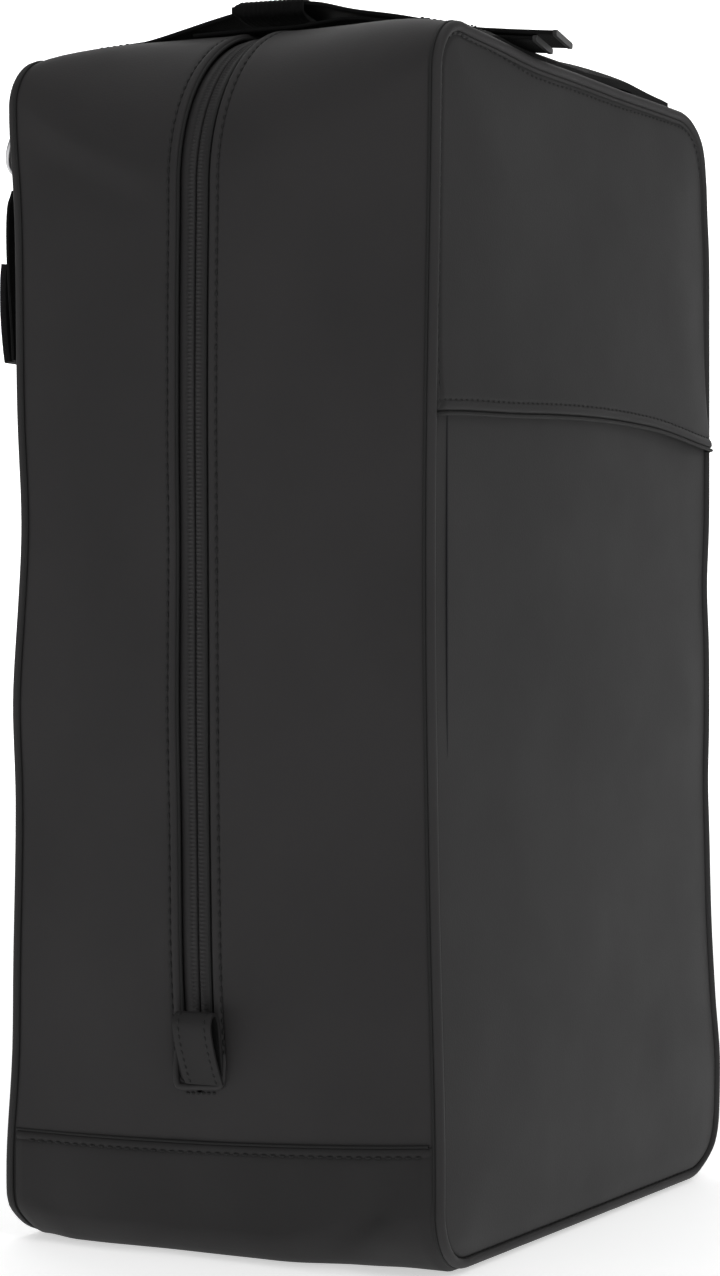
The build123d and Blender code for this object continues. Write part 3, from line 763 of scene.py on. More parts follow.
def make_zip_shade_line(name, direction):
    """A dark cord under the folded edge beside the zipper: painted shade cast by the fold."""
    y = ZIP_Y + direction * (ZIP_HALF_GAP - (0.15 if direction > 0 else 1.2))
    first = station_at_height(SLOT_FOOT + 3, y)
    line = [shell_point(s, y, -1.1) for s in stations(first, ROUND - first)]
    return cord(name, line, WIDE_SHADE_CORD, "thread")


def make_boot_shade_line(name, far):
    """A dark cord of thread colour in the step above the boot's edge: painted shade in the gap above the lap.
    """
    line = []
    for k in range(61):
        y = mix(-SEAM_Y + 0.5, SEAM_Y - 0.5, k / 60)
        line.append(boot_point(boot_station(y, 0.35, far), y, 0.45))
    return cord(name, line, SEAM_SHADE_CORD, "thread")


# ---------------------------------------------------------------- piping
def make_piping(name, side):
    """The turned edge round the front (side -1) or back (side 1) panel, round like a cord."""
    radius = 1.65
    inset = 1.5
    sections = []
    for s in stations(0, ROUND)[:-1]:
        point, normal = outline_point(s, side * SEAM_Y)
        centre = point - normal * inset
        centre.y = side * (SEAM_Y + 2.2)
        ring = []
        for k in range(14):
            angle = side * 2 * math.pi * k / 14
            swell = radius * (1 + 0.04 * noise.noise(Vector((s * 9, k, side))))
            around = normal * math.cos(angle) + Vector((0, math.sin(angle), 0))
            ring.append(warp(centre + around * swell))
        sections.append(ring)
    return loft(name, sections, "welt_fabric", closed=True)


# ---------------------------------------------------------------- front and back panels
# Distances from a panel's edge of its rows and columns of points
EDGE_STEPS = (0, 0.2, 0.4, 0.6, 0.8, 1.0, 1.25, 1.5, 1.8, 2.2, 2.7, 3.4, 4.3, 5.4, 6.6, 8, 10, 13, 17, 22, 28,
              36, 45, 55, 66, 78, 91)
PANEL_STITCH_INSET = PANEL_INSET + 0.6


def corner_at(x, z, side):
    """Corner radius of a panel. side is -1 for the front, 1 for the back."""
    if z < TOP / 2:
        return base_corner(side * SEAM_Y)
    return FAR_CORNER if x > 0 else NEAR_CORNER


def inside_distance(x, z, side):
    """Distance from the outline of a panel, inwards."""
    corner = corner_at(x, z, side)
    half_height = (TOP - BASE) / 2
    qx = abs(x) - (HALF_WIDTH - corner)
    qz = abs(z - BASE - half_height) - (half_height - corner)
    outside = math.hypot(max(qx, 0), max(qz, 0))
    return corner - outside - min(max(qx, qz), 0)


def half_width_at(x, z, side):
    """Half width of a panel at height z, inside its rounded corners, on the side of x."""
    top = corner_at(x, TOP, side)
    base = corner_at(x, 0, side)
    for corner, beyond in ((top, z - TOP + top), (base, BASE + base - z)):
        if beyond > 0:
            radius = corner - PANEL_INSET
            return HALF_WIDTH - corner + math.sqrt(max(radius ** 2 - beyond ** 2, 0))
    return HALF_WIDTH - PANEL_INSET


def panel_row(z, columns, side=-1):
    """Places across a panel at height z."""
    return [share * half_width_at(share, z, side) for share in columns]


def panel_columns():
    """Shares across a panel, -1 to 1, closer together at its edges."""
    width = HALF_WIDTH - PANEL_INSET
    left = [-1 + step / width for step in EDGE_STEPS]
    return left + [0.0] + [-share for share in reversed(left)]


def panel_rows(low, high, dense_low=True, dense_high=True):
    """Heights from low to high, closer together at the ends asked for."""
    steps = [step for step in EDGE_STEPS if step < 14]
    head = [low + step for step in steps] if dense_low else [low]
    tail = [high - step for step in reversed(steps)] if dense_high else [high]
    count = max(1, int((tail[0] - head[-1]) / 6))
    return head + [mix(head[-1], tail[0], k / count) for k in range(1, count)] + tail


def puff(x, z, side, stitch_inset):
    """How far a panel stands out from its flat: rounded over the edge, a stitched groove, a soft middle."""
    inside = inside_distance(x, z, side)
    tuck = -0.9 * (1 - clamp((inside - PANEL_INSET) / 1.0)) ** 2
    groove = -0.5 * bell(inside, stitch_inset, 0.5)
    soft = softness(x, side * 90, z) * ease(inside / 26)
    middle = FACE_BULGE * (1 - math.exp(-max(inside - 4, 0) / 42))
    return tuck + groove + soft * 0.8 + middle


def front_stitch_inset(z):
    """How far inside the outline the front's stitches lie: further in above the flap's edge."""
    return mix(PANEL_STITCH_INSET, FLAP_STITCH_INSET, ease((z - FLAP_NEAR_Z) / 3))


def face_point(x, z, out=0.0):
    """A point on the front's soft surface."""
    rise = top_shift(x, -SEAM_Y) * ease((z - TOP + 40) / 40)
    return warp(Vector((x, FACE_Y - puff(x, z, -1, front_stitch_inset(z)) - out, z + rise)))


def back_point(x, z, out=0.0):
    """A point on the back's soft surface, which is flatter."""
    rise = top_shift(x, SEAM_Y) * ease((z - TOP + 40) / 40)
    return warp(Vector((x, BACK_Y + 0.55 * puff(x, z, 1, PANEL_STITCH_INSET) + out, z + rise)))


def panel_sheet(name, rows, place, slot, side):
    """A panel with some thickness. side is -1 for the front, 1 for the back."""
    columns = panel_columns()[::-side]
    outer = []
    inner = []
    for z in rows:
        outer.append([place(x, z, 0.0) for x in panel_row(z, columns, side)])
        inner.append([place(x, z, -FABRIC_SKIN) for x in panel_row(z, columns, side)])
    return sheet_between(name, outer, inner, slot)


def make_pocket_panel():
    """The front panel from its foot to just behind the flap's edge."""
    rows = panel_rows(BASE + PANEL_INSET, POCKET_TOP, True, False)
    return panel_sheet("pocket_panel_skin", rows, face_point, "front_fabric", -1)


def make_back_panel():
    """The whole back panel."""
    rows = panel_rows(BASE + PANEL_INSET, TOP - PANEL_INSET)
    return panel_sheet("back_panel_skin", rows, back_point, "gusset_fabric", 1)


def flap_edge(x):
    """Height of the flap's folded edge: a shallow arch that falls off at the far end."""
    share = (x + HALF_WIDTH) / (2 * HALF_WIDTH)
    arch = FLAP_CREST_Z - FLAP_NEAR_Z
    rise = arch * math.sin(math.pi / 2 * clamp(share / 0.58)) if share < 0.58 else arch
    sag = 1.3 * ease((x + 104) / 50) + 2.5 * ease((x - 45) / 65)
    return FLAP_NEAR_Z + rise - sag - (FLAP_CREST_Z - FLAP_FAR_Z) * ease((share - 0.58) / 0.42)


def flap_point(x, above, out=0.0):
    """A point on the upper panel, above millimetres over its folded edge."""
    z = flap_edge(x) + above
    edge_stand = 1.9 + 1.6 * ease((x - 10) / 90)
    stand = edge_stand * math.exp(-max(above, 0) / 16) * ease((HALF_WIDTH - abs(x)) / 6)
    hem = 0.35 * bell(above, 1.6, 1.5) - 0.4 * bell(above, HEM_STITCH, 0.5)
    return face_point(x, z, out + stand + hem)


def make_upper_panel():
    """The upper front panel, its lower edge folded under."""
    columns = panel_columns()
    across = panel_row(TOP / 2, columns)
    turned = ((4.5, -2.5), (1.2, -2.5), (0.3, -1.9), (-0.05, -1.1))
    rises = (0.0, 0.25, 0.7, 1.2, 1.8, 2.4, 2.9, 3.3, 3.7, 4.2, 5, 6.5, 9, 12, 16, 22)
    outer = [[flap_point(x, turn, under) for x in across] for turn, under in turned]
    inner = [[flap_point(x, max(turn, 1.0), -1.3) for x in across] for turn, _ in turned]
    for rise in rises:
        roll = -0.55 * (1 - clamp(rise / 0.8)) ** 2
        outer.append([flap_point(x, rise, roll) for x in across])
        inner.append([flap_point(x, max(rise, 1.0), -FABRIC_SKIN) for x in across])
    for z in panel_rows(FLAP_CREST_Z + 24, TOP - PANEL_INSET, False, True):
        row = panel_row(z, columns)
        outer.append([flap_point(x, z - flap_edge(x)) for x in row])
        inner.append([flap_point(x, z - flap_edge(x), -FABRIC_SKIN) for x in row])
    return sheet_between("upper_panel_skin", outer, inner, "front_fabric")


def make_flap_shade_line():
    """A dark cord under the flap's folded edge: partly the edge's dark raw underside, partly painted shade
    under the flap.
    """
    line = [flap_point(x, -0.9, -0.1) for x in panel_row(TOP / 2, panel_columns())]
    return cord("flap_raw_edge_and_shade", line, WIDE_SHADE_CORD, "thread")


def panel_run(place, side, inset, first=0, last=ROUND):
    """Points along the stitched line inside a panel's edge."""
    run = []
    for s in stations(first, last):
        point, normal = outline_point(s, side * SEAM_Y)
        spot = point - normal * inset
        run.append((place(spot.x, spot.z, 0.1), Vector((0, side, 0))))
    return run


def make_panel_stitches():
    """Topstitching round both panels and along the flap's edge."""
    def upper_place(x, z, out):
        """A point on the upper panel at height z."""
        return flap_point(x, z - flap_edge(x), out)

    near = station_at_height(FLAP_NEAR_Z, -SEAM_Y)
    far = station_at_height(FLAP_FAR_Z, -SEAM_Y, True)
    lower = [panel_run(face_point, -1, PANEL_STITCH_INSET, first, last)
             for first, last in ((0, near), (far, ROUND))]
    run = []
    for k in range(101):
        x = mix(-HALF_WIDTH + 5, HALF_WIDTH - 5, k / 100)
        run.append((flap_point(x, HEM_STITCH, 0.1), Vector((0, -1, 0))))
    upper = [run, panel_run(upper_place, -1, FLAP_STITCH_INSET, near + 0.02, far - 0.02)]
    back = [panel_run(back_point, 1, PANEL_STITCH_INSET)]
    return (stitches("pocket_topstitch", lower), stitches("flap_topstitch", upper),
            stitches("back_topstitch", back))


# ---------------------------------------------------------------- main zipper
COIL_PITCH = 1.27
RIB_HEIGHT = 0.24


def make_zip_half(name, direction):
    """One half of the reversed zipper: a smooth tape whose edge shows the ribs of the coil under it."""
    first = station_at_height(SLOT_FOOT + 2, ZIP_Y)
    places = stations(first, ROUND - first)
    line = [shell_point(s, ZIP_Y) for s in places]
    step = COIL_PITCH / 3
    count = int(along_line(line)[-1] / step)
    ribbed = [(0.15, -3.2, 0.0), (0.35, -2.3, 0.3), (0.8, -1.9, 1.0), (1.7, -1.85, 1.0), (2.3, -1.95, 1.0),
              (2.6, -2.1, 0.2), (3.6, -2.15, 0.0), (5.0, -2.2, 0.0), (5.9, -2.6, 0.0), (6.6, -3.3, 0.0),
              (9.5, -3.6, 0.0)]
    plain = [(9.5, -4.2), (6.2, -4.0), (5.0, -3.1), (0.5, -3.4)]
    targets = [number * step for number in range(count + 1)]
    sections = []
    for target, (i, share) in zip(targets, walk(line, targets)):
        s = mix(places[i], places[i + 1], share)
        rib = RIB_HEIGHT * math.cos(2 * math.pi * target / COIL_PITCH)
        section = [(reach, out + rib * strength) for reach, out, strength in ribbed] + plain
        ring = [shell_point(s, ZIP_Y + direction * reach, out) for reach, out in section[::direction]]
        sections.append(ring)
    return loft(name, sections, "zip_tape")


def make_coil(name, direction):
    """The coil's teeth, on the inside of the tape."""
    first = station_at_height(ZIP_FOOT, ZIP_Y)
    marks = stations(first, ROUND - first)
    line = [shell_point(s, ZIP_Y, -4.0) for s in marks]
    count = int(along_line(line)[-1] / COIL_PITCH)
    shift = 0.5 if direction > 0 else 0.0
    side = Vector((0, direction, 0))
    swells = ((-0.25, 0.3), (0.1, 0.9), (1.4, 0.8), (2.7, 0.7), (2.9, 0.3))
    points = []
    faces = []
    for i, share in walk(line, [(number + shift) * COIL_PITCH for number in range(count)]):
        middle = line[i].lerp(line[i + 1], share)
        forward = (line[i + 1] - line[i]).normalized() * 0.45
        up = shell_normal(mix(marks[i], marks[i + 1], share), ZIP_Y) * 0.6
        add_bead(points, faces, [circle(middle + side * reach, forward * swell, up * swell, 5)
                                 for reach, swell in swells])
    return make_piece(name, points, faces, "zip_coil", sharp=80)


# ---------------------------------------------------------------- straps and loops
def ribbon(name, line, across, width, thickness, slot="webbing"):
    """A strap along a line of points. across is the direction of its width."""
    across = Vector(across).normalized()
    lengths = along_line(line)
    half = width / 2
    shoulder = (half - 0.14, thickness / 2 - min(thickness / 2, 0.8) * 0.35)
    outline = [(-half, 0), (-shoulder[0], shoulder[1]), (-half + 1.2, thickness / 2)]
    outline += [(-half + 1.2 + (width - 2.4) * k / 6, thickness / 2) for k in range(1, 7)]
    outline += [shoulder, (half, 0)]
    profile = outline + [(-a, -b) for a, b in outline[1:-1]]
    sections = []
    weave = []
    for i, point in enumerate(line):
        up = across.cross(tangent(line, i)).normalized()
        sections.append([Vector(point) + across * a + up * b for a, b in profile])
        weave += [(lengths[i], a) for a, _ in profile]
    return loft(name, sections, slot, weave=weave)


SIDES = (("near", -1), ("far", 1))


def side_name(side):
    """What a piece on the near (side -1) or far (side 1) side is called."""
    return "near" if side < 0 else "far"


def upright_line(x, stops, steps):
    """A curve in the plane at x, through stops of (y, z)."""
    return curve_through([(x, y, z) for y, z in stops], steps)


def make_grab_loop(side):
    """A folded strip: sewn down at its foot, up and over at the zipper's end, open between."""
    name = side_name(side)
    low, high = box_mm(f"{name}_grab_loop")
    width = high.y - low.y - 0.8
    height = high.z - low.z
    route = [(0.8, 0.02), (2.6, 0.16), (5.6, 0.45), (7.9, 0.78), (7.7, 0.93), (6.0, 1.0), (3.9, 0.965),
             (2.6, 0.82), (1.7, 0.5), (0.7, 0.18), (0.3, 0.03)]
    path = curve_through([(out, 0, low.z + height * rise) for out, rise in route], 7)
    line = []
    for out, _, z in path:
        surface = shell_point(station_at_height(z, ZIP_Y, side > 0), ZIP_Y)
        line.append(Vector((surface.x + side * (out + 0.3), ZIP_Y - 2.4, z)))
    loop = ribbon(f"{name}_grab_loop_skin", line, (0, 1, 0), width, 1.3, "boot_fabric")
    # A near-black sheet on the inside of the loop: painted shade in its hollow
    inside = [point + tangent(line, i).cross(Vector((0, side, 0))).normalized() * 0.8
              for i, point in enumerate(line)][6:-6]
    lining = ribbon(f"{name}_grab_loop_shade_sheet", inside, (0, 1, 0), width - 0.8, 0.35, "textile_back")
    runs = []
    for edge in (-1, 1):
        run = []
        for i in range(len(path) // 2 + 4):
            up = tangent(line, i).cross(Vector((0, -side, 0))).normalized()
            run.append((line[i] + Vector((0, edge * (width / 2 - 2.2), 0)) + up * 0.72, up))
        runs.append(run)
    thread = stitches(f"{name}_loop_topstitch", runs, pitch=2.6, length=2.2, radius=0.4)
    return loop, thread, lining


def make_zip_patch(side):
    """The welted bottom of the zipper's slot, with a bar of heavy stitches below the loop."""
    name = side_name(side)
    foot = SLOT_FOOT - 0.6
    half = ZIP_HALF_GAP + 2.5
    stops = [(-half, foot + 22), (-half, foot + 12), (-half, foot + 4), (-half + 0.5, foot + 1.0),
             (-half + 2.2, foot), (0, foot), (half - 2.2, foot), (half - 0.5, foot + 1.0), (half, foot + 4),
             (half, foot + 12), (half, foot + 22)]
    line = []
    for point in curve_through([(y, 0, z) for y, z in stops], 6):
        y = ZIP_Y + point.x
        fade = ease((point.z - foot - 3) / 12)
        lean = -SLOT_SLANT * point.x * (1 - fade)
        line.append(shell_point(station_at_height(point.z + lean, y, side > 0), y, 0.35 - 1.7 * fade))
    sections = []
    up = Vector((side, 0, 0))
    for i, point in enumerate(line):
        across = tangent(line, i).cross(up).normalized()
        sections.append(circle(point, across * 1.1, up, 10))
    rim = loft(f"{name}_slot_rim", sections, "welt_fabric")
    run = []
    for k in range(13):
        y = ZIP_Y + mix(-6, 6, k / 12)
        s = station_at_height(foot - 2.0 - SLOT_SLANT * (y - ZIP_Y), y, side > 0)
        run.append((shell_point(s, y, 0.15), shell_normal(s, y)))
    bar = stitches(f"{name}_bar_tack", [run], pitch=1.9, length=1.8, radius=0.5)
    return rim, bar


def strap_frame():
    """Pivot of the top strap and its directions: across its width, and forwards along it."""
    joints = {joint["name"]: joint for joint in frame["record"]["behaviour"]["joints"]}
    joint = joints["top_strap_lift"]
    across = Vector(joint["axis"]).normalized()
    return Vector(joint["pos_m"]) / MM, across, Vector((across.y, -across.x, 0))


STRAP_PIVOT, STRAP_ACROSS, STRAP_AHEAD = strap_frame()
STRAP_WIDTH = 25.0
STRAP_SKIN = 1.7
SLEEVE_LOW, SLEEVE_HIGH = box_mm("strap_sleeve")
SLEEVE_MIDDLE = (SLEEVE_LOW + SLEEVE_HIGH) / 2
SLEEVE_AHEAD = (SLEEVE_MIDDLE - STRAP_PIVOT).dot(STRAP_AHEAD)
SLEEVE_LENGTH = 24.0


def strap_point(ahead, z, across=0.0):
    """The point at height z so far ahead of the strap's pivot, and so far across."""
    point = STRAP_PIVOT + STRAP_AHEAD * ahead + STRAP_ACROSS * across
    point.z = z
    return point


def strap_line(stops, steps=8):
    """Middle line of a piece of the strap, through (distance ahead of the pivot, height)."""
    return curve_through([strap_point(ahead, z) for ahead, z in stops], steps)


def make_top_strap():
    """The strap over the top rises from its patch to the sleeve. In the sleeve it doubles; in front of it
    the layers come together again, and each is cut off just past the front edge."""
    crest = SLEEVE_MIDDLE.z + 1.8
    start = SLEEVE_AHEAD - SLEEVE_LENGTH / 2
    end = SLEEVE_AHEAD + SLEEVE_LENGTH / 2
    upper = strap_line([(-0.5, STRAP_PIVOT.z + 1.6), (3, STRAP_PIVOT.z + 2.2), (14, STRAP_PIVOT.z + 3.6),
                        (start - 6, crest - 2.4),
                        (start + 4, crest - 0.2), (SLEEVE_AHEAD, crest + 0.9), (end - 2, crest + 1.6),
                        (end + 5, crest + 1.1), (end + 16, crest - 1.6), (end + 32, crest - 4.4),
                        (end + 52, crest - 8.8), (end + 66, crest - 10.5), (end + 82.5, crest - 11.9)])
    strap = ribbon("top_strap_webbing", upper, -STRAP_ACROSS, STRAP_WIDTH, STRAP_SKIN)
    lower = strap_line([(start - 14, crest - 6.9), (start + 2, crest - 6.2), (end - 3, crest - 5.6),
                        (end + 8, crest - 4.4), (end + 16, crest - 4.0),
                        (end + 32, crest - 6.2), (end + 52, crest - 10.6), (end + 66, crest - 12.4),
                        (end + 76, crest - 13.3)])
    backing = ribbon("strap_backing_webbing", lower, -STRAP_ACROSS, STRAP_WIDTH - 0.6, STRAP_SKIN - 0.1)
    return strap, backing, cut_end("strap_cut_end", upper, 2.0), cut_end("backing_cut_end", lower, 2.0)


def cut_end(name, line, thickness):
    """The heat-sealed cut end of a webbing layer, a little swollen; it is coloured lighter than the webbing's
    faces as a painted highlight on the end.
    """
    forward = tangent(line, len(line) - 1)
    stub = [line[-1] - forward * 0.9, line[-1] - forward * 0.3, line[-1] + forward * 0.35]
    return ribbon(name, stub, -STRAP_ACROSS, STRAP_WIDTH + 0.3, thickness, "cut_webbing")


def make_sleeve():
    """A flattened tube of webbing round the strap, ribbed, its back end rounded over."""
    ring_points = 40
    steps = 90
    wall = 1.3
    rib_pitch = 1.6
    half_width = STRAP_WIDTH / 2 + 2.2
    outer = []
    inner = []
    for i in range(steps + 1):
        share = i / steps
        ahead = SLEEVE_AHEAD + SLEEVE_LENGTH * (share - 0.5)
        tuck = ease((0.16 - share) / 0.16) ** 2
        half_height = 3.2 - 1.5 * tuck
        row_out = []
        row_in = []
        for k in range(ring_points + 1):
            angle = 2 * math.pi * k / ring_points
            cos, sin = math.cos(angle), math.sin(angle)
            across = math.copysign(abs(cos) ** 0.4, cos)
            up = math.copysign(abs(sin) ** 0.5, sin)
            rib = 0.1 * math.cos(2 * math.pi * ahead / rib_pitch)
            lift = SLEEVE_MIDDLE.z + 1.9 + 0.3 * share
            row_out.append(strap_point(ahead, lift + up * (half_height + rib), across * (half_width + rib)))
            row_in.append(strap_point(ahead, lift + up * (half_height - wall), across * (half_width - wall)))
        outer.append(row_out)
        inner.append(row_in)
    weave = [(k * 2.2, i * 0.27) for _ in (0, 1) for i in range(steps + 1) for k in range(ring_points + 1)]
    return sheet_between("strap_sleeve_webbing", outer, inner, "webbing", weave)


def make_strap_anchor():
    """The sewn end of the strap: a flat piece of webbing with a stitched box and cross."""
    rise = top_height(STRAP_PIVOT.y) + 0.9
    patch_line = strap_line([(-8, rise - 1.2), (-2, rise - 0.3), (5, rise + 0.6), (11, rise + 1.2)])
    patch = ribbon("strap_anchor_webbing", patch_line, -STRAP_ACROSS, STRAP_WIDTH + 3, 1.3)
    corners = [strap_point(-5, rise + 0.9, -11), strap_point(-5, rise + 0.9, 11),
               strap_point(6, rise + 1.9, 11), strap_point(6, rise + 1.9, -11)]
    return patch, stitched_box("strap_anchor_stitches", corners)


def stitched_box(name, corners):
    """A box of stitches with a cross in it, lying flat."""
    a, b, c, d = corners
    runs = [[(p, Vector((0, 0, 1))), (q, Vector((0, 0, 1)))]
            for p, q in ((a, b), (b, c), (c, d), (d, a), (a, c), (b, d))]
    return stitches(name, runs, pitch=2.2, length=1.6, radius=0.24)


def on_top(x, y, above):
    """A point so far above the soft top."""
    point = shell_point(top_station(x, y), y)
    return Vector((x, y, point.z + above))


def make_front_handle():
    """Flat webbing handle behind the front top edge, a little slack between its sewn ends."""
    low, high = box_mm("front_handle")
    length = high.x + 2 - low.x
    skin = 2.5
    front_edge = min(low.y - 2.6, -SEAM_Y + 0.6)
    across = [mix(front_edge, high.y - 2.6, k / 10) for k in range(11)]
    upper = []
    lower = []
    weave = []
    for i in range(61):
        share = i / 60
        x = low.x + length * share
        lift = 1.8 * bell(share, 0.74, 0.16) - 1.3 * ease((0.05 - share) / 0.05)
        edges = (0, len(across) - 1)
        upper.append([on_top(x, y, 0.2 + skin + lift - 0.3 * (k in edges)) for k, y in enumerate(across)])
        lower.append([on_top(x, y, lift - 0.2) for y in across])
        weave += [(length * share, y) for y in across]
    pieces = [sheet_between("front_handle_webbing", upper, lower, "webbing", weave + weave)]
    for name, start in (("near", low.x + 1.5), ("far", high.x - 13.5)):
        corners = [on_top(start + dx, y, skin + 0.35) for dx, y in
                   ((0, low.y + 3), (12, low.y + 3), (12, high.y - 3), (0, high.y - 3))]
        pieces.append(stitched_box(f"{name}_handle_stitches", corners))
    return pieces


def ring_depth(low, high):
    """Depth of a ring's bar: clear of the soft back panel."""
    surface = back_point((low.x + high.x) / 2, high.z - 1).y
    return max((low.y + high.y) / 2, surface + 1.1)


def make_ring(side):
    """A round-wire D-ring that leans out from the back."""
    name = side_name(side)
    low, high = box_mm(f"{name}_ring")
    wire = (high.y - low.y) / 2
    x = (high.x + low.x) / 2
    y = ring_depth(low, high)
    radius = (high.x - low.x) / 2 - wire
    top = high.z - wire
    round_z = low.z + wire + radius
    corner = 1.6
    line = [(x + radius * math.cos(a), round_z + radius * math.sin(a))
            for a in (math.pi + math.pi * k / 24 for k in range(25))]
    for centre_x, start in ((x + radius - corner, 0), (x - radius + corner, math.pi / 2)):
        line += [(centre_x + corner * math.cos(start + math.pi / 2 * k / 5),
                  top - corner + corner * math.sin(start + math.pi / 2 * k / 5)) for k in range(6)]
    sections = []
    for i, (px, pz) in enumerate(line):
        forward = (Vector(line[(i + 1) % len(line)]) - Vector(line[i - 1])).normalized()
        out = Vector((forward.y, 0, -forward.x))
        lean = 5.0 * clamp((top - pz) / 12)
        sections.append(circle(Vector((px, y + lean, pz)), out * wire, Vector((0, wire, 0)), 12))
    return loft(f"{name}_ring_wire", sections, "ring_metal", closed=True)


def make_ring_tab(side):
    """A folded webbing tab round the ring's bar."""
    name = side_name(side)
    low, high = box_mm(f"{name}_ring_tab")
    ring_low, ring_high = box_mm(f"{name}_ring")
    bar = Vector(((low.x + high.x) / 2, ring_depth(ring_low, ring_high), ring_high.z - 1))
    surface = back_point(bar.x, bar.z).y
    back = max(bar.y - 2.0, surface + 0.6)
    stops = [(back, high.z), (back, bar.z + 5), (back + 0.1, bar.z + 1)]
    stops += [(bar.y + 2.0 * math.cos(math.pi * turn), bar.z + 2.0 * math.sin(math.pi * turn))
              for turn in (1.15, 1.5, 1.85)]
    stops += [(bar.y + 1.9, bar.z + 1), (back + 1.9, bar.z + 6), (back + 1.6, high.z)]
    line = upright_line(bar.x, stops, 5)
    tab = ribbon(f"{name}_ring_tab_webbing", line, (1, 0, 0), high.x - low.x, 1.1)
    run_z = mix(bar.z, high.z, 0.75)
    face = back + 1.7 + 0.55
    run = [(Vector((run_x, face, run_z)), Vector((0, 1, 0))) for run_x in (low.x + 1.5, high.x - 1.5)]
    return tab, stitches(f"{name}_ring_tab_stitches", [run], pitch=1.7, length=1.3, radius=0.24)


def make_back_strap(side):
    """A short strap hanging on the back, its end folded up and sewn to make it thicker below."""
    name = side_name(side)
    low, high = box_mm(f"{name}_back_strap")
    fold_top = box_mm(f"{name}_back_strap_fold")[1].z
    patch_low, patch_high = box_mm(f"{name}_back_strap_patch")
    x = (low.x + high.x) / 2
    near_y = low.y + 0.8
    width = high.x - low.x
    layer = [(near_y + 0.6, high.z + 0.4), (near_y + 1.3, high.z - 1.5), (near_y + 2.4, high.z - 5),
             (near_y + 2.8, high.z - 14), (near_y + 2.2, high.z - 30), (near_y + 1.0, low.z + 6),
             (near_y + 0.6, low.z - 2.4)]
    strap = ribbon(f"{name}_back_strap_webbing", upright_line(x, layer, 7), (1, 0, 0), width, 1.5)
    fold = [(near_y + 2.9, low.z - 2.8), (near_y + 3.8, low.z + 4), (near_y + 4.6, low.z + 14),
            (near_y + 4.6, fold_top - 7), (near_y + 4.1, fold_top - 2)]
    folded = ribbon(f"{name}_back_strap_end", upright_line(x, fold, 7), (1, 0, 0), width - 0.4, 2.8)
    sewn = [(patch_low.y + 0.5, patch_high.z), (patch_low.y + 0.6, patch_low.z + 5),
            (patch_low.y + 0.6, patch_low.z)]
    patch = ribbon(f"{name}_back_strap_anchor", upright_line(x, sewn, 5), (1, 0, 0), width, 1.0)
    return strap, folded, patch


# ---------------------------------------------------------------- slider and puller
def plate(name, outline, placing, thickness, slot, bevel=0.35):
    """A flat plate with rounded edges. placing turns (across, up, out) into a point."""
    rings = []
    for inset, level in ((bevel, 0), (0, bevel), (0, thickness - bevel), (bevel, thickness)):
        ring = []
        for i, (a, b) in enumerate(outline):
            before = Vector(outline[i - 1])
            after = Vector(outline[(i + 1) % len(outline)])
            edge = (after - before).normalized()
            ring.append(placing(a - edge.y * inset, b + edge.x * inset, level))
        rings.append(ring)
    return loft(name, rings, slot)


def rounded(width, height, radius, middle_z=0.0, steps=5):
    """Outline of a rounded rectangle, anticlockwise."""
    line = []
    for cx, cz, start in ((1, 1, 0), (-1, 1, 1), (-1, -1, 2), (1, -1, 3)):
        for k in range(steps + 1):
            angle = math.pi / 2 * (start + k / steps)
            line.append((cx * (width / 2 - radius) + radius * math.cos(angle),
                         middle_z + cz * (height / 2 - radius) + radius * math.sin(angle)))
    return line


# The slider rides on the bulged side, this far out from its place in the frame
SLIDER_LIFT = Vector((2.7, 0, 0))


def make_slider():
    """The slider's body, narrower below, and the bridge that holds its puller."""
    low, high = (corner + SLIDER_LIFT for corner in box_mm("main_slider"))
    middle_z = (low.z + high.z) / 2
    height = high.z - low.z
    width = high.y - low.y

    def place(a, b, out):
        return Vector((low.x + out, ZIP_Y - a, middle_z + b))

    outline = [(a * mix(0.72, 1.0, ease((b + height / 2) / height * 1.4)), b)
               for a, b in rounded(width, height, 2.6)]
    body = plate("slider_body", outline, place, 2.3, "black_metal", 0.5)
    stops = [(low.x + 2.2, -4.2), (low.x + 4.1, -3.6), (high.x - 0.6, -1.4), (high.x - 0.6, 1.6),
             (low.x + 4.1, 3.2), (low.x + 2.2, 3.7)]
    line = curve_through([(x, ZIP_Y, middle_z + above) for x, above in stops], 5)
    return body, ribbon("slider_bridge", line, (0, -1, 0), 2.4, 1.1, "black_metal")


def make_puller():
    """The puller's tab and the wire eye it hangs from."""
    low, high = (corner + SLIDER_LIFT for corner in box_mm("main_puller"))
    middle_x = (low.x + high.x) / 2

    def place(a, b, out):
        return Vector((low.x + 0.1 + out, ZIP_Y - a, b))

    tab = plate("puller_tab", rounded(high.y - low.y, 11.4, 1.8, low.z + 5.7), place, 1.1, "black_metal", 0.3)
    top = high.z - 0.7
    stops = [(-2.1, low.z + 9), (-2.2, top - 2.4), (-1.5, top - 0.3), (0, top), (1.5, top - 0.3),
             (2.2, top - 2.4), (2.1, low.z + 9)]
    line = curve_through([(middle_x, ZIP_Y + a, z) for a, z in stops], 6)
    wire = Vector((0.55, 0, 0))
    rings = [circle(point, wire, tangent(line, i).cross(wire), 10) for i, point in enumerate(line)]
    return tab, loft("puller_eye", rings, "black_metal")


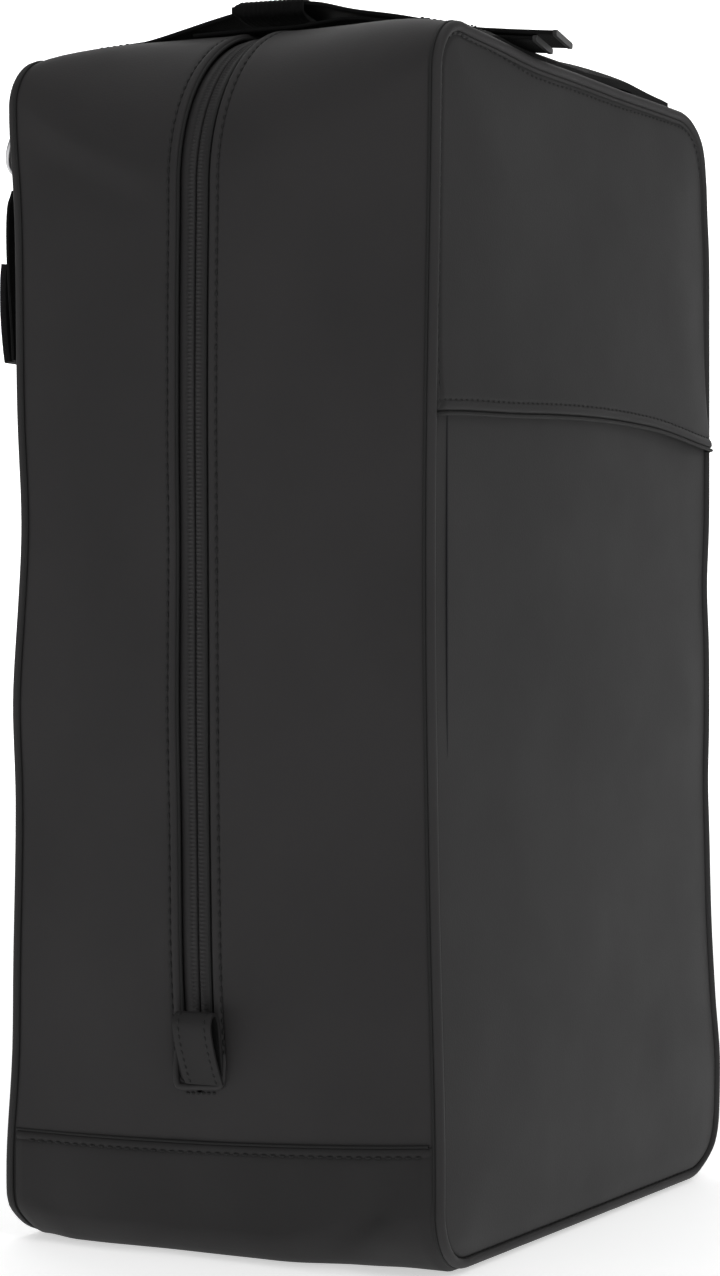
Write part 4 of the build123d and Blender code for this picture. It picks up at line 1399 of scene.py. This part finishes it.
# ---------------------------------------------------------------- inside
def make_lining_half(name, direction, wall_y):
    """The textile lining of one half: a band along the gusset and a wall behind the panel."""
    inset = 4.6
    start = ZIP_Y + direction * (ZIP_HALF_GAP + 7)
    depths = [mix(start, wall_y, k / 8) for k in range(9)]
    shrink = (0.03, 0.08, 0.16, 0.3, 0.5, 0.75, 1.0)
    middle_z = (TOP + BASE) / 2
    sections = []
    for s in stations(0, ROUND)[:-1]:
        row = []
        for y in depths:
            point, normal = outline_point(s, y)
            row.append(point - normal * (inset + 0.5 * abs(softness(*point))))
        rim = row[-1]
        spine = Vector((0, wall_y, clamp(rim.z, 105, TOP - 105)))
        row += [rim.lerp(spine, share) for share in shrink]
        sections.append([warp(point) for point in row])
    outer = [[section[j] for section in sections + sections[:1]] for j in range(len(sections[0]))]
    inner = []
    for row in outer:
        shifted = []
        for x, y, z in row:
            toward = Vector((-x, -0.4 * direction, 0.6 * (middle_z - z))).normalized()
            shifted.append(Vector((x, y, z)) + toward * LINING_SKIN)
        inner.append(shifted)
    weave = [(point.z, point.x + point.y) for grid in (outer, inner) for row in grid for point in row]
    return sheet_between(name, outer[::-direction], inner[::-direction], "lining", weave)


def make_foam(name, node):
    """A foam sheet, slightly crowned, its edges softened."""
    low, high = box_mm(node)
    thickness = high.y - low.y
    middle_y = (low.y + high.y) / 2
    outer = []
    inner = []
    for z in [mix(low.z + 0.4, high.z - 0.4, k / 40) for k in range(41)]:
        row_out = []
        row_in = []
        for share in [mix(-1, 1, k / 30) for k in range(31)]:
            reach = half_width_at(share, z, math.copysign(1, middle_y)) - 5
            edge = min(1 - abs(share), min(z - low.z, high.z - z) / 100) * 12
            swell = thickness / 2 * (0.45 + 0.35 * ease(edge))
            row_out.append(warp(Vector((reach * share, middle_y - swell, z))))
            row_in.append(warp(Vector((reach * share, middle_y + swell, z))))
        outer.append(row_out)
        inner.append(row_in)
    return sheet_between(name, outer, inner, "foam")


# ---------------------------------------------------------------- putting the pieces on their bodies
def fixed(piece, *nodes, body="back_half"):
    """A piece that moves with one body, and the CAD nodes it stands in for."""
    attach(piece, body)
    if nodes:
        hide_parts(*nodes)
    return piece


def bending(piece, *nodes):
    """A piece that crosses the fold near the bottom of the front half."""
    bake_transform(piece)
    if nodes:
        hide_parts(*nodes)
    return piece


def build_shell():
    """The fabric shell: gusset, boot, panels and piping, with the threads on them and the dark cords of
    painted shade in their grooves and gaps.
    """
    fixed(make_gusset_half("back_gusset_skin", 1), "back_gusset")
    bending(make_gusset_half("front_gusset_skin", -1),
            "front_gusset", "near_lower_gusset", "far_lower_gusset")
    fixed(make_boot(), "base_boot")
    bending(make_pocket_panel(), "pocket_panel", "lower_front_panel")
    fixed(make_upper_panel(), "upper_front_panel", body="front_half")
    fixed(make_back_panel(), "back_panel")
    fixed(make_piping("back_piping", 1), "back_welt")
    bending(make_piping("front_piping", -1), "front_welt", "lower_front_welt")
    # Dark cords of painted shade: in the seam grooves, beside the zipper's folds, above the boot and under
    # the flap
    fixed(make_seam_shade_line("back_seam_shade_line", 1))
    bending(make_seam_shade_line("front_seam_shade_line", -1))
    fixed(make_zip_shade_line("back_zip_shade_line", 1))
    bending(make_zip_shade_line("front_zip_shade_line", -1))
    fixed(make_boot_shade_line("near_boot_shade_line", False))
    fixed(make_boot_shade_line("far_boot_shade_line", True))
    fixed(make_flap_shade_line(), body="front_half")
    seams = make_seam_stitches()
    fixed(seams["back"])
    bending(seams["front"])
    fixed(seams["boot"])
    pocket, flap, back = make_panel_stitches()
    bending(pocket)
    fixed(flap, body="front_half")
    fixed(back)


def build_zipper():
    """The main zipper, its slider and puller, and the loop and patch at each end."""
    fixed(make_zip_half("back_zip_tape_skin", 1), "back_zip_tape")
    bending(make_zip_half("front_zip_tape_skin", -1), "front_zip_tape")
    fixed(make_coil("back_coil", 1), "back_zip_coil")
    bending(make_coil("front_coil", -1), "front_zip_coil")
    for body, (main, detail) in (("main_slider", make_slider()), ("main_puller", make_puller())):
        fixed(main, body, body=body)
        fixed(detail, body=body)
    for name, side in SIDES:
        loop, *details = make_grab_loop(side)
        fixed(loop, f"{name}_grab_loop")
        for detail in details:
            fixed(detail)
        rim, bar = make_zip_patch(side)
        fixed(rim, f"{name}_zip_patch")
        fixed(bar)


def build_webbing():
    """The strap over the top and its sleeve, the handle, and the rings and straps on the back."""
    strap, backing, *cut_ends = make_top_strap()
    fixed(strap, "top_strap", body="top_strap")
    fixed(backing, "strap_backing", body="top_strap")
    for end in cut_ends:
        fixed(end, body="top_strap")
    fixed(make_sleeve(), "strap_sleeve", body="strap_sleeve")
    patch, thread = make_strap_anchor()
    fixed(patch, "strap_anchor")
    fixed(thread)
    handle, *boxes = make_front_handle()
    fixed(handle, "front_handle", body="front_half")
    for stitched in boxes:
        fixed(stitched, body="front_half")
    for name, side in SIDES:
        fixed(make_ring(side), f"{name}_ring", body=f"{name}_ring")
        tab, thread = make_ring_tab(side)
        fixed(tab, f"{name}_ring_tab")
        fixed(thread)
        hanging, folded, patch = make_back_strap(side)
        fixed(hanging, f"{name}_back_strap", body=f"{name}_back_strap")
        fixed(folded, f"{name}_back_strap_fold", body=f"{name}_back_strap")
        fixed(patch, f"{name}_back_strap_patch")


def build_inside():
    """The linings and the foam sheets. The base board keeps its CAD shape."""
    fixed(make_lining_half("back_lining_cloth", 1, box_mm("back_foam")[0].y - 1.6), "back_lining",
          "base_lining")
    bending(make_lining_half("front_lining_cloth", -1, box_mm("front_foam")[1].y + 1.8), "front_lining")
    for name, node, body in (("back_foam_sheet", "back_foam", "back_half"),
                             ("front_foam_sheet", "front_foam", "front_half")):
        foam = fixed(make_foam(name, node), node, body=body)


def dress_cad_nodes():
    """CAD nodes that stay: each gets the material of its slot."""
    slots = {row["node"]: row["material_slot"] for row in frame["record"]["subparts"]}
    for node, piece in frame["nodes"].items():
        if piece.hide_render:
            continue
        piece.data.materials.clear()
        piece.data.materials.append(MATERIALS[slots[node]])


# ---------------------------------------------------------------- camera, floor and light
CAMERA_AZIMUTH = math.radians(-62.4)
CAMERA_DISTANCE = 1.080
CAMERA_HEIGHT = 0.1924
CAMERA_LENS = 89.4
CAMERA_SHIFT = (-0.0176, 0.0016)
FLOOR_REACH = 6.0
BACKDROP_AWAY = 2.6
BACKDROP_REACH = 2.2
BACKDROP_HEIGHT = 3.0


def look_at(thing, target):
    """Turns a camera or a light towards a point."""
    direction = Vector(target) - thing.location
    thing.rotation_euler = direction.to_track_quat("-Z", "Y").to_euler()


def put_in_scene(name, data):
    """A new object in the scene."""
    thing = bpy.data.objects.new(name, data)
    bpy.context.scene.collection.objects.link(thing)
    return thing


def build_camera():
    """A long lens, level with the middle of the bag."""
    target = Vector((0, 0, CAMERA_HEIGHT))
    data = bpy.data.cameras.new("camera")
    camera = put_in_scene("camera", data)
    toward = Vector((math.sin(CAMERA_AZIMUTH), -math.cos(CAMERA_AZIMUTH), 0))
    camera.location = target + toward * CAMERA_DISTANCE
    look_at(camera, target)
    data.sensor_width = 36
    data.lens = CAMERA_LENS
    data.shift_x, data.shift_y = CAMERA_SHIFT
    bpy.context.scene.camera = camera


def area_light(name, location, target, size, power):
    """A round area light."""
    data = bpy.data.lights.new(name, "AREA")
    data.shape = "DISK"
    data.size = size
    data.energy = power
    light = put_in_scene(name, data)
    light.location = location
    look_at(light, target)


def stage_sheet(name, corners, material):
    """A flat sheet of the set."""
    mesh = bpy.data.meshes.new(name)
    mesh.from_pydata([tuple(corner) for corner in corners], [], [(0, 1, 2, 3)])
    mesh.materials.append(material)
    return put_in_scene(name, mesh)


def glowing_paint(name, glow):
    """White paint that glows a little by itself, with its nodes, links and shader."""
    material, nodes, links = new_material(name)
    shader = nodes["Principled BSDF"]
    shader.inputs["Base Color"].default_value = (0.9, 0.9, 0.9, 1)
    shader.inputs["Emission Color"].default_value = (1, 1, 1, 1)
    shader.inputs["Emission Strength"].default_value = glow
    return material, nodes, links, shader


def floor_paint():
    """Faintly mottled white."""
    material, nodes, links, shader = glowing_paint("floor_paint", 0.54)
    place = nodes.new("ShaderNodeTexCoord").outputs["Object"]
    mottle = noise_node(nodes, links, place, 3)
    links.new(ramp_node(nodes, links, mottle, (0.88, 0.88, 0.88), (0.92, 0.92, 0.92)),
              shader.inputs["Base Color"])
    shader.inputs["Roughness"].default_value = 0.8
    return material


def build_stage():
    """A white floor and a white backdrop behind the bag."""
    floor = stage_sheet("floor", [(x * FLOOR_REACH, y * FLOOR_REACH, 0)
                                  for x, y in ((-1, -1), (1, -1), (1, 1), (-1, 1))], floor_paint())
    away = Vector((-math.sin(CAMERA_AZIMUTH), math.cos(CAMERA_AZIMUTH), 0))
    side = Vector((away.y, -away.x, 0))
    corners = [away * BACKDROP_AWAY + side * (a * BACKDROP_REACH) + Vector((0, 0, z * BACKDROP_HEIGHT))
               for a, z in ((-1, 0), (1, 0), (1, 1), (-1, 1))]
    backdrop = stage_sheet("backdrop", corners, glowing_paint("backdrop_paint", 0.9)[0])


def build_light():
    """A broad light overhead, one from the front left, and a soft white world."""
    world = bpy.data.worlds.new("studio")
    world.use_nodes = True
    background = world.node_tree.nodes["Background"]
    background.inputs["Color"].default_value = (1, 1, 1, 1)
    background.inputs["Strength"].default_value = 0.36
    bpy.context.scene.world = world
    area_light("overhead", (0.1, 0.1, 2.3), (0, 0, 0.3), size=2.2, power=9)
    area_light("key", (-0.75, -0.98, 1.2), (0, 0, 0.26), size=0.7, power=3.0)
    bpy.context.scene.view_settings.view_transform = "Standard"


build_shell()
build_zipper()
build_webbing()
build_inside()
dress_cad_nodes()
build_camera()
build_stage()
build_light()
